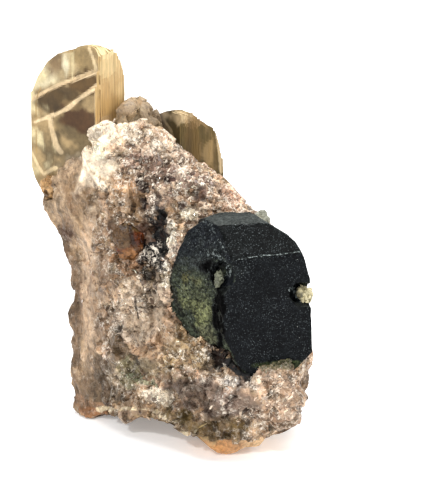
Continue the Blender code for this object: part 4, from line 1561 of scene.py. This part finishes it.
@dataclass
class MuscoviteBook:
    """A book of muscovite: many thin leaves side by side.

    Attributes:
        spine: A point of the near edge of the first leaf.
        run: The way that a leaf runs.
        across: The way that the leaves follow each other.
        top: Places along a leaf and its height there.
        bottom: Places along a leaf and its lowest height there.
        skyline: Places across the book and the tallest height there.
        reach: Places across the book and the leaves' width there.
        steps: Places across the book where the leaves' near edges step back, and how far.
        terraces: The broken leaves of the display side.
        lines: Pale broken edges and creases on the faces of the display side.
    """

    name: str
    node: str
    slot: str
    spine: Vec3
    run: Vec3
    across: Vec3
    top: Curve
    bottom: Curve
    skyline: Curve
    reach: Curve
    steps: Curve
    terraces: tuple[Terrace, ...]
    rim_colours: tuple[Colour, ...]
    face_colour: Colour
    lines: Marks
    patches: Marks
    rim_patches: Marks
    finish: MicaFinish
    seed: int
    thinnest: float = 0.08
    thickest: float = 0.26
    columns: int = 12
    rows: int = 32
    display_columns: int = 46
    display_rows: int = 84
    display_leaves: int = 3
    display_depth: float = 1.6
    wave: float = 0.06
    tear: float = 0.12
    short_leaf: float = 0.2
    narrow_leaf: float = 0.25
    edge_scatter: float = 0.015
    line_tear: float = 0.08
    rim_wave: float = 0.025

    def build(self) -> None:
        """Models and dresses the book."""
        dice = np.random.default_rng(self.seed)
        leaves: list[Piece] = []
        at, depth = 0.0, self.skyline[0][-1]
        while at < depth - 0.03:
            thickness = self.thinnest + (self.thickest - self.thinnest) * dice.random() ** 2
            if len(leaves) < len(self.terraces):
                thickness = self.terraces[len(leaves)].thickness
            thickness = min(thickness, depth - at)
            leaves.append(self._leaf(len(leaves), at, thickness, dice))
            at += thickness
        pick_only(leaves[0])
        for leaf in leaves:
            leaf.select_set(True)
        bpy.ops.object.join()
        book = bpy.context.active_object
        book.name = book.data.name = self.name
        shade(book, 30)
        self._colour(book)
        add_to_specimen(book, self.finish.make(), self.slot, self.node)

    def _leaf(self, index: int, at: float, thickness: float, dice: np.random.Generator) -> Piece:
        """Models one leaf.

        Args:
            index: The leaf's number.
            at: Where it starts in the book.
            thickness: Its thickness.
            dice: The random numbers.

        Returns:
            The leaf.
        """
        bpy.ops.object.select_all(action="DESELECT")
        fine = index < self.display_leaves
        columns, rows = (self.display_columns, self.display_rows) if fine else (self.columns, self.rows)
        bpy.ops.mesh.primitive_grid_add(x_subdivisions=columns, y_subdivisions=rows, size=2)
        leaf = bpy.context.active_object
        grid = read(leaf.data.vertices, "co", 3)
        u, v = (grid[:, 0] + 1) / 2, (grid[:, 1] + 1) / 2
        terrace = self.terraces[index] if index < len(self.terraces) else None
        near = np.interp(at, *self.steps) + self.edge_scatter * dice.random()
        far = (terrace.reach if terrace else np.interp(at, *self.reach)) - self.narrow_leaf * dice.random()
        along = near + (far - near) * u
        low = np.interp(along, *self.bottom)
        tallest = np.interp(at, *self.skyline) - self.short_leaf * dice.random() ** 2
        high = np.minimum(np.interp(along, *self.top), tallest)
        marks = np.stack([along, np.full(len(u), float(index)), np.zeros(len(u))], axis=1)
        high = high + self.tear * soft_noise(marks, 1.1, self.seed, 3) - self.tear
        if terrace:
            line = terrace.near_height + (terrace.far_height - terrace.near_height) * along / self.reach[1][0]
            line = line + self.line_tear * soft_noise(marks, 2.5, self.seed + 1, 4)
            high = np.minimum(high, line)
        height = low + (high - low) * v
        marks = np.stack([np.full(len(u), float(index)), height, u * 3], axis=1)
        rim = np.maximum(1 - u / 0.08, 0) - 0.8 * np.maximum((u - 0.9) / 0.1, 0)
        along = along + rim * (self.rim_wave * soft_noise(marks, 1.3, self.seed + 2, 3) + 0.01)
        waves = np.stack([along, height, np.zeros(len(u))], axis=1)
        depth = at + self.wave * soft_noise(waves, 3.5, self.seed + 3, 2) * (0.3 + u * (1 - u) * 3)
        places = self.spine + np.outer(along, self.run) + np.outer(depth, self.across)
        places[:, 2] = height
        place_vertices(leaf, places)
        outward = 1.0 if leaf.data.polygons[0].normal.dot(self.across) > 0 else -1.0
        apply_modifier(leaf, "SOLIDIFY", thickness=thickness * 0.99 * MM, offset=outward)
        keep(leaf.data, "FACE", leaf=np.full(len(leaf.data.polygons), float(index)))
        return leaf

    def _colour(self, book: Piece) -> None:
        """Gives each leaf's face and rim their colours.

        Args:
            book: The book's piece.
        """
        mesh = book.data
        index = read(mesh.attributes["leaf"].data, "value")
        mesh.attributes.remove(mesh.attributes["leaf"])
        rim = (np.abs(read(mesh.polygons, "normal", 3) @ self.across) < 0.6).astype(float)
        points = over_faces(mesh, surface(book)[0])
        key = np.stack([index, index * 0, index * 0], axis=1).astype(np.int64)
        choice = (cell_random(key, self.seed + 5) * len(self.rim_colours)).astype(int)
        rims = linear(*self.rim_colours)[choice] * (0.92 + 0.16 * cell_random(key, self.seed + 6))[:, None]
        ragged = soft_noise(points, 1.8, self.seed + 7, 3)
        rims = blend_patches(points, rims, self.rim_patches, ragged)
        faces = np.tile(linear(self.face_colour), (len(points), 1))
        drawn = blend_patches(points, faces, self.patches, ragged)
        drawn = blend_patches(points, drawn, self.lines, 0.45 * ragged)
        display_side = (points - self.spine) @ self.across < self.display_depth
        faces[display_side] = drawn[display_side]
        colours = faces * (1 - rim[:, None]) + rims * rim[:, None]
        keep(mesh, "FACE", tint=np.clip(colours, 0.004, 0.9), rim=rim)


WARM = (206, 182, 144)
CREAM = (204, 182, 142)
BROWN = (72, 56, 34)
BOOKS = (
    MuscoviteBook(
        name="pale_mica_leaves",
        node="pale_muscovite_book",
        slot="pale_muscovite",
        spine=(-8.15, 1.575, 0),
        run=(-0.819, 0.574, 0),
        across=(0.574, 0.819, 0),
        top=(
            (0, 0.5, 1.6, 3.1, 3.7, 5.8, 7.3, 8.8, 9.7),
            (42.8, 43.6, 43.9, 43.5, 42.9, 42.5, 41.4, 39.6, 37.6),
        ),
        bottom=((0, 3, 6.6, 8.4, 9.2, 9.9), (25.5, 25.5, 25.8, 26.5, 27.7, 29.8)),
        skyline=((0, 1, 2.4, 3.4, 4.2, 5, 5.7), (43.7, 43.9, 43.6, 43.1, 42.4, 41.2, 39.4)),
        reach=((0, 3.2, 4.2, 5, 5.7), (9.9, 9.5, 9, 8.2, 7.2)),
        steps=((0, 0.7, 0.8, 2.6, 3.4, 4.2, 5.7), (0.10, 0.10, 0, 0.05, 0.18, 0.10, 0.30)),
        terraces=(
            Terrace(39.4, 33.7, 6.1, 0.34),
            Terrace(41.1, 36.4, 9.7, 0.34),
            Terrace(48, 39.5, 9.9, 0.16),
        ),
        rim_colours=((193, 162, 111), (187, 156, 105), (199, 170, 121), (179, 147, 97)),
        face_colour=(146, 124, 88),
        lines=(
            Stroke(((-15.6, 36.7), (-14.2, 37.7), (-12.3, 38.9), (-10.1, 40), (-8.1, 41)), 0.42, WARM, 0.9),
            Stroke(((-15.4, 34.1), (-13.5, 35.1), (-11.6, 36.3), (-10, 37.8), (-8, 39.4)), 0.4, WARM, 0.95),
            Stroke(((-13.5, 34.6), (-13.4, 33.8), (-13.2, 33), (-12.9, 32), (-12.3, 31.3)), 0.58, WARM, 0.75),
            Stroke(((-10.9, 42.9), (-10.8, 41.3), (-10.9, 39.7)), 0.3, (196, 180, 140), 0.6),
            Stroke(((-8.9, 43.5), (-8.5, 42.5), (-8.1, 41.1)), 0.3, CREAM, 0.9),
            Stroke(((-15.8, 30.6), (-15, 29), (-14.4, 28.2), (-12.9, 29.3)), 0.36, CREAM, 0.85),
            Stroke(((-8.2, 38.6), (-8.2, 33)), 0.2, CREAM, 0.6),
            Stroke(((-14.6, 38.2), (-15.1, 36.9), (-15.3, 34), (-15.2, 30.6)), 0.16, (150, 122, 76), 0.7),
        ),
        patches=(
            Patch((-12.6, 5, 41), (4.4, 9, 3), (168, 150, 114), 0.7, blur=0.6),
            Patch((-14.4, 6, 39), (2.2, 9, 2.5), (212, 200, 166), 0.85, blur=1),
            Patch((-13, 4, 41.2), (1.2, 9, 1.7), (104, 84, 60), 0.9, blur=0.9),
            Patch((-9.7, 2.6, 41.6), (1.3, 9, 1.7), (134, 112, 74), 0.8, blur=0.8),
            Patch((-11.6, 4, 40.9), (0.42, 9, 2.2), (206, 196, 166), 0.75, blur=0.9),
            Patch((-13.3, 4.6, 36.9), (2.8, 9, 1.6), BROWN, 1, blur=0.4),
            Patch((-11.6, 4, 37.8), (2.4, 9, 1.2), BROWN, 0.9, blur=0.4),
            Patch((-9.5, 2.3, 39.4), (2.6, 9, 1.4), (84, 64, 38), 1, blur=0.4),
            Patch((-10.6, 3.2, 33.6), (3.1, 9, 4.2), (90, 76, 52), 0.9, blur=0.6),
            Patch((-9.5, 2.5, 35.5), (3.6, 9, 1.7), (70, 46, 26), 0.92, blur=0.6),
            Patch((-10.6, 3.2, 37), (1.4, 9, 0.5), (128, 106, 72), 0.7, blur=0.8),
            Patch((-13.9, 5.4, 31.2), (1.7, 9, 2.8), (92, 78, 54), 0.9, blur=0.9),
            Patch((-16.2, 6.8, 34), (2.3, 9, 8), (208, 192, 150), 0.95, blur=1),
            Patch((-9.4, 2.5, 29.5), (3, 9, 2.4), (150, 134, 108), 0.7, blur=0.6),
        ),
        rim_patches=(
            Patch((-12, 5, 35), (3.8, 4, 9), CREAM, 0.75),
            Patch((-7.8, 1.8, 33.8), (2.2, 4, 1.9), (204, 186, 154), 0.9),
            Patch((-7, 3.2, 43.2), (3, 4, 0.9), (224, 206, 160), 0.75),
            Patch((-6.6, 3.6, 41.6), (1.6, 4, 1.2), (216, 192, 142), 0.6),
            Patch((-6.6, 3.6, 36.4), (3, 4, 2.6), (176, 140, 88), 0.6),
        ),
        finish=MicaFinish("pale_mica_leaves", 0.3, 0.28, 0.06),
        seed=300,
    ),
    MuscoviteBook(
        name="olive_mica_leaves",
        node="olive_muscovite_book",
        slot="olive_muscovite",
        spine=(1.15, 4.575, 0),
        run=(-0.6, 0.8, 0),
        across=(0.8, 0.6, 0),
        top=((0, 0.7, 2.6, 4.4, 5.4, 5.6), (35.5, 35.6, 35.5, 35, 33.4, 30)),
        bottom=((0, 3.2, 5.6), (24.6, 23.6, 27)),
        skyline=(
            (0, 1.6, 2.1, 2.7, 3.6, 4.6, 5.1, 5.6, 6.3),
            (35.6, 35.6, 35.3, 34.8, 34.1, 33.6, 32.9, 31.6, 28.6),
        ),
        reach=((0, 1.4, 2.9, 5, 6.3), (5.7, 5.7, 5.5, 5.1, 4.3)),
        steps=((0, 1.3, 1.4, 2.9, 4.2, 6.3), (0, 0.02, 0.12, 0.06, 0.18, 0.22)),
        terraces=(Terrace(34.8, 28.5, 5.6, 0.22),),
        rim_colours=((88, 71, 34), (81, 66, 32), (93, 75, 38)),
        face_colour=(74, 62, 39),
        lines=(
            Stroke(((-1, 34.6), (0.1, 33.4), (1, 30.6), (1.2, 29)), 0.28, (150, 132, 102), 0.7),
        ),
        patches=(
            # Painted highlight: the cream top edge of the face.
            Patch((-0.2, 6.5, 35), (2.6, 9, 0.9), (188, 166, 130), 0.75, blur=0.9),
            Patch((-1.4, 6.5, 33.8), (1.1, 9, 1.8), (128, 108, 82), 0.7, blur=0.9),
        ),
        rim_patches=(
            # Painted highlight: the cream top edge of the rims.
            Patch((1.4, 5.5, 35.5), (2, 9, 0.8), (204, 180, 140), 0.85, blur=0.8),
            Patch((3.2, 5.5, 34.6), (1.3, 9, 0.8), (140, 112, 74), 0.7),
            Patch((2.6, 5.2, 31), (1, 9, 3), (92, 70, 34), 0.7),
            Patch((4.5, 6.8, 30.6), (0.8, 9, 3), (150, 124, 82), 0.7, blur=0.9),
            # Painted highlight: the bright narrow line down the right edge.
            Stroke(((5.1, 33.4), (5.6, 31), (5.8, 28)), 0.4, (204, 180, 140), 0.8),
        ),
        finish=MicaFinish("olive_mica_leaves", 0.9, 0.5, 0.04),
        thinnest=0.07,
        thickest=0.2,
        columns=8,
        rows=24,
        seed=400,
    ),
)


# ---- the small crystals


class Skin(Enum):
    """How a small crystal's surface has broken."""

    CLEAN = "clean"
    GRANULAR = "granular"
    CHIPPED = "chipped"
    ANGULAR = "angular"


@dataclass
class SmallCrystal:
    """A small crystal or grain that is its own node.

    Attributes:
        voxel: The spacing of its mesh.
        swell: How far it grows to meet the rock, or shrinks.
        facet: The size of its facets.
        held: The point that it is drawn in towards, and by what share of its size along X, Y and Z.
        under: Places along X and the lowest height there.
    """

    name: str
    node: str
    slot: str
    finish: CrystalFinish
    skin: Skin
    voxel: float
    swell: float
    facet: float
    colour: Colour
    patches: Marks = ()
    held: tuple[Vec3, Vec3] = ((0, 0, 0), (0, 0, 0))
    under: Curve = ((0,), (0,))

    def build(self) -> None:
        """Models and dresses the crystal."""
        step, slope, grit = {
            Skin.CLEAN: (0.05, 0.12, 0.01),
            Skin.GRANULAR: (0.14, 0.45, 0.06),
            Skin.CHIPPED: (0.10, 0.40, 0.02),
            Skin.ANGULAR: (0.0, 0.26, 0.03),
        }[self.skin]
        piece = copy_of_node(self.node, self.name, self.voxel)
        points, normals = surface(piece)
        cells = find_cells(points, self.facet, 500)
        height = self.swell + facet_height(cells, step, slope, 510) + grit * soft_noise(points, 0.5, 520, 2)
        if self.skin is Skin.GRANULAR:
            height = height - 0.08 * (1 - ease(cells.rim, 0.0, 0.12))
        moved = points + normals * np.clip(height, -0.6, 0.3 + self.swell)[:, None]
        moved += (self.held[0] - moved) * self.held[1]
        for patch in self.patches:
            moved -= normals * (patch.depth * patch.weight(points, 0.0))[:, None]
        moved[:, 2] = np.maximum(moved[:, 2], np.interp(moved[:, 0], *self.under))
        place_vertices(piece, moved)
        colours = np.tile(linear(self.colour), (len(points), 1))
        colours = blend_patches(points, colours, self.patches, soft_noise(points, 1.0, 530, 3))
        tone = 1.0 if self.skin is Skin.CLEAN else 0.75 + 0.5 * cells.random(531)[:, None]
        keep(piece.data, "POINT", tint=np.clip(colours * tone, 0.004, 0.9))
        shade(piece, 20 if self.skin is Skin.CLEAN else None)
        add_to_specimen(piece, self.finish.make(), self.slot, self.node)


SMALL_CRYSTALS = (
    SmallCrystal(
        "smoky_quartz_crystal", "smoky_quartz", "smoky_quartz",
        CrystalFinish("smoky_quartz", (120, 102, 80), 0.4, 0, 1.2, (1, 1, 2)),
        Skin.CHIPPED, 0.14, 0.04, 1.5, (150, 131, 103),
        (
            Patch((-2, 3.4, 35.2), (1.2, 9, 2.4), (134, 114, 90), 0.7),
            Patch((-4.5, 3, 37), (1.1, 9, 1.2), (178, 154, 126), 0.7, depth=-0.4, blur=0.8),
        ),
        held=((-3.6, 5, 31), (0, 0, 0.09)),
    ),
    SmallCrystal(
        "orange_feldspar_foot", "feldspar_foot", "tan_feldspar",
        CrystalFinish("orange_feldspar", (164, 118, 76), 0.4, 0, 2, (2, 1, 1)),
        Skin.CLEAN, 0.17, 0.18, 1.8, (206, 158, 108),
        (
            Patch((9.6, -9.6, 2), (3.4, 9, 2), (222, 190, 148), 0.85),
            Patch((5.6, -9.6, 1.2), (1.6, 9, 1.2), (200, 142, 84), 0.7),
            Patch((3, -9.6, 2.2), (2.6, 9, 1.4), (190, 166, 122), 0.8),
            Patch((6, -9.6, 3.9), (8, 9, 1.5), (84, 66, 40), 0.9),
        ),
        under=(
            (-0.6, 2.4, 3.3, 4.5, 5.3, 6.3, 7.4, 8.4, 10, 10.6, 11.2, 14),
            (3.4, 2.8, 2.4, 1.3, 0.4, 0, 0.35, 0.85, 0.6, 1.3, 2.4, 4),
        ),
    ),
    SmallCrystal(
        "clear_quartz_knob", "quartz_knob", "clear_quartz",
        CrystalFinish("clear_quartz", (150, 150, 134), 0.12, 0.5),
        Skin.CLEAN, 0.12, -0.1, 1.1, (190, 190, 172),
        held=((9.6, -5.4, 24.4), (0.25, 0.2, 0.1)),
    ),
    SmallCrystal(
        "rusty_feldspar_grain", "rusty_feldspar", "rusty_feldspar",
        CrystalFinish("rusty_feldspar", (34, 17, 8), 0.3, 0, 0.9, shine=0.2),
        Skin.ANGULAR, 0.11, 0.02, 0.8, (86, 39, 11),
        (
            Patch((-4.6, -4.5, 21.2), (2.4, 9, 1.4), (126, 86, 50), 0.95),
            Patch((-5.5, -3.8, 23.6), (1.3, 9, 1.7), (86, 67, 46), 0.9),
            Patch((-3.4, -3.8, 25), (1.8, 9, 1), (88, 68, 40), 0.95),
            # Painted shade: the near-black side of the grain where the cleft runs beside it.
            Patch((-1.9, -4.4, 23.6), (0.9, 9, 2.2), (8, 6, 9), 1),
            Stroke(((-4.4, 24.9), (-4.1, 23.8), (-3.9, 22.8), (-3.2, 21.9)), 0.4, (40, 24, 15), 0.75,
                   depth=0.08),
        ),
    ),
    SmallCrystal(
        "tan_feldspar_grain", "tan_feldspar", "tan_feldspar",
        CrystalFinish("tan_feldspar", (120, 84, 50), 0.4, 0, 0.8),
        Skin.CHIPPED, 0.13, 0, 0.8, (172, 136, 92),
        (Patch((-14.6, 4.4, 26.2), (0.7, 9, 0.6), (84, 60, 34), 0.9),),
        held=((-12.8, 6.2, 27.2), (0.3, 0.2, 0.1)),
    ),
    SmallCrystal(
        "notch_phosphate", "notch_grain", "pale_green_phosphate",
        CrystalFinish("pale_green_phosphate", (120, 112, 78), 0.4, 0, 0.8),
        Skin.GRANULAR, 0.10, -0.1, 0.5, (180, 170, 136),
        # Painted shade: the grain's dark part, deep in the notch.
        (Patch((13.5, -12.4, 19), (0.9, 9, 1.4), (40, 42, 38), 0.9, blur=0.9),),
        held=((15.5, -12.2, 19.1), (0.26, 0, 0.14)),
    ),
    SmallCrystal(
        "pit_phosphate", "pit_grain", "pale_green_phosphate",
        CrystalFinish("grey_phosphate", (60, 62, 52), 0.4, 0, 0.6),
        Skin.GRANULAR, 0.09, -0.20, 0.45, (116, 118, 98),
        held=((5.5, -11.6, 20.6), (0.2, 0, 0.1)),
    ),
)


# ---- floor, light and camera


@dataclass
class Studio:
    """The plain pale floor, the soft light and the camera."""

    floor_size: float = 6.0
    aim: Vec3 = (5.67, 2.075, 21.6)
    distance: float = 0.33
    elevation: float = 15.0
    focal_length: float = 219.0
    sky: float = 0.42
    floor_glow: float = 0.22

    def build(self) -> None:
        """Sets up the studio."""
        self._floor()
        self._lamp("top_softbox", (0.05, 0.05, 0.50), 0.45, 3.3)
        self._lamp("front_softbox", (-0.20, -0.55, 0.30), 0.40, 1.15)
        self._lamp("right_softbox", (0.50, 0.05, 0.35), 0.20, 1.4)
        self._lamp("spark_lamp", (-0.22, -0.45, 0.42), 0.03, 1.5)
        world = bpy.data.worlds.new("soft_sky")
        world.use_nodes = True
        background = world.node_tree.nodes["Background"]
        background.inputs["Color"].default_value = (1.0, 1.0, 1.0, 1.0)
        background.inputs["Strength"].default_value = self.sky
        bpy.context.scene.world = world
        bpy.context.scene.view_settings.view_transform = "Standard"
        self._camera()

    def _floor(self) -> None:
        """Lays the floor."""
        bpy.ops.object.select_all(action="DESELECT")
        bpy.ops.mesh.primitive_plane_add(size=self.floor_size, location=(0, 0, 0))
        floor = bpy.context.active_object
        floor.name = "pale_floor"
        paint = Paint("pale_floor")
        colour = paint.grey(paint.between(paint.noise(40.0), 0.3, 0.7, 0.94, 0.96))
        glow = {"Emission_Color": WHITE, "Emission_Strength": self.floor_glow}
        material = paint.done(Base_Color=colour, Roughness=0.8, Specular_IOR_Level=0.1, **glow)
        floor.data.materials.append(material)

    def _lamp(self, name: str, place: Vec3, size: float, power: float) -> None:
        """Hangs a square lamp that faces the specimen.

        Args:
            name: The lamp's name.
            place: Where it hangs, in metres.
            size: The length of its side, in metres.
            power: Its power in watts.
        """
        bpy.ops.object.light_add(type="AREA", location=place)
        lamp = bpy.context.active_object
        lamp.name = name
        lamp.data.size = size
        lamp.data.energy = power
        toward = Vector(self.aim) * MM - Vector(place)
        lamp.rotation_euler = toward.to_track_quat("-Z", "Y").to_euler()

    def _camera(self) -> None:
        """Sets up the camera."""
        tilt = math.radians(self.elevation)
        aim = Vector(self.aim) * MM
        place = aim + Vector((0, -math.cos(tilt), math.sin(tilt))) * self.distance
        bpy.ops.object.camera_add(location=place, rotation=(math.pi / 2 - tilt, 0, 0))
        camera = bpy.context.active_object
        camera.name = "display_camera"
        camera.data.lens = self.focal_length
        camera.data.sensor_width = 36.0
        camera.data.sensor_fit = "AUTO"
        camera.data.clip_start = 0.01
        bpy.context.scene.camera = camera


def main() -> None:
    """Builds the specimen, then the studio."""
    logging.basicConfig(level=logging.INFO, format="%(message)s")
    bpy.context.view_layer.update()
    rock = BrokenRock().build()
    for part in (Triphylite(), *BOOKS, *SMALL_CRYSTALS):
        part.build()
    for grains in GRAIN_SETS:
        grains.build(rock)
    Studio().build()


if __name__ == "__main__":
    main()
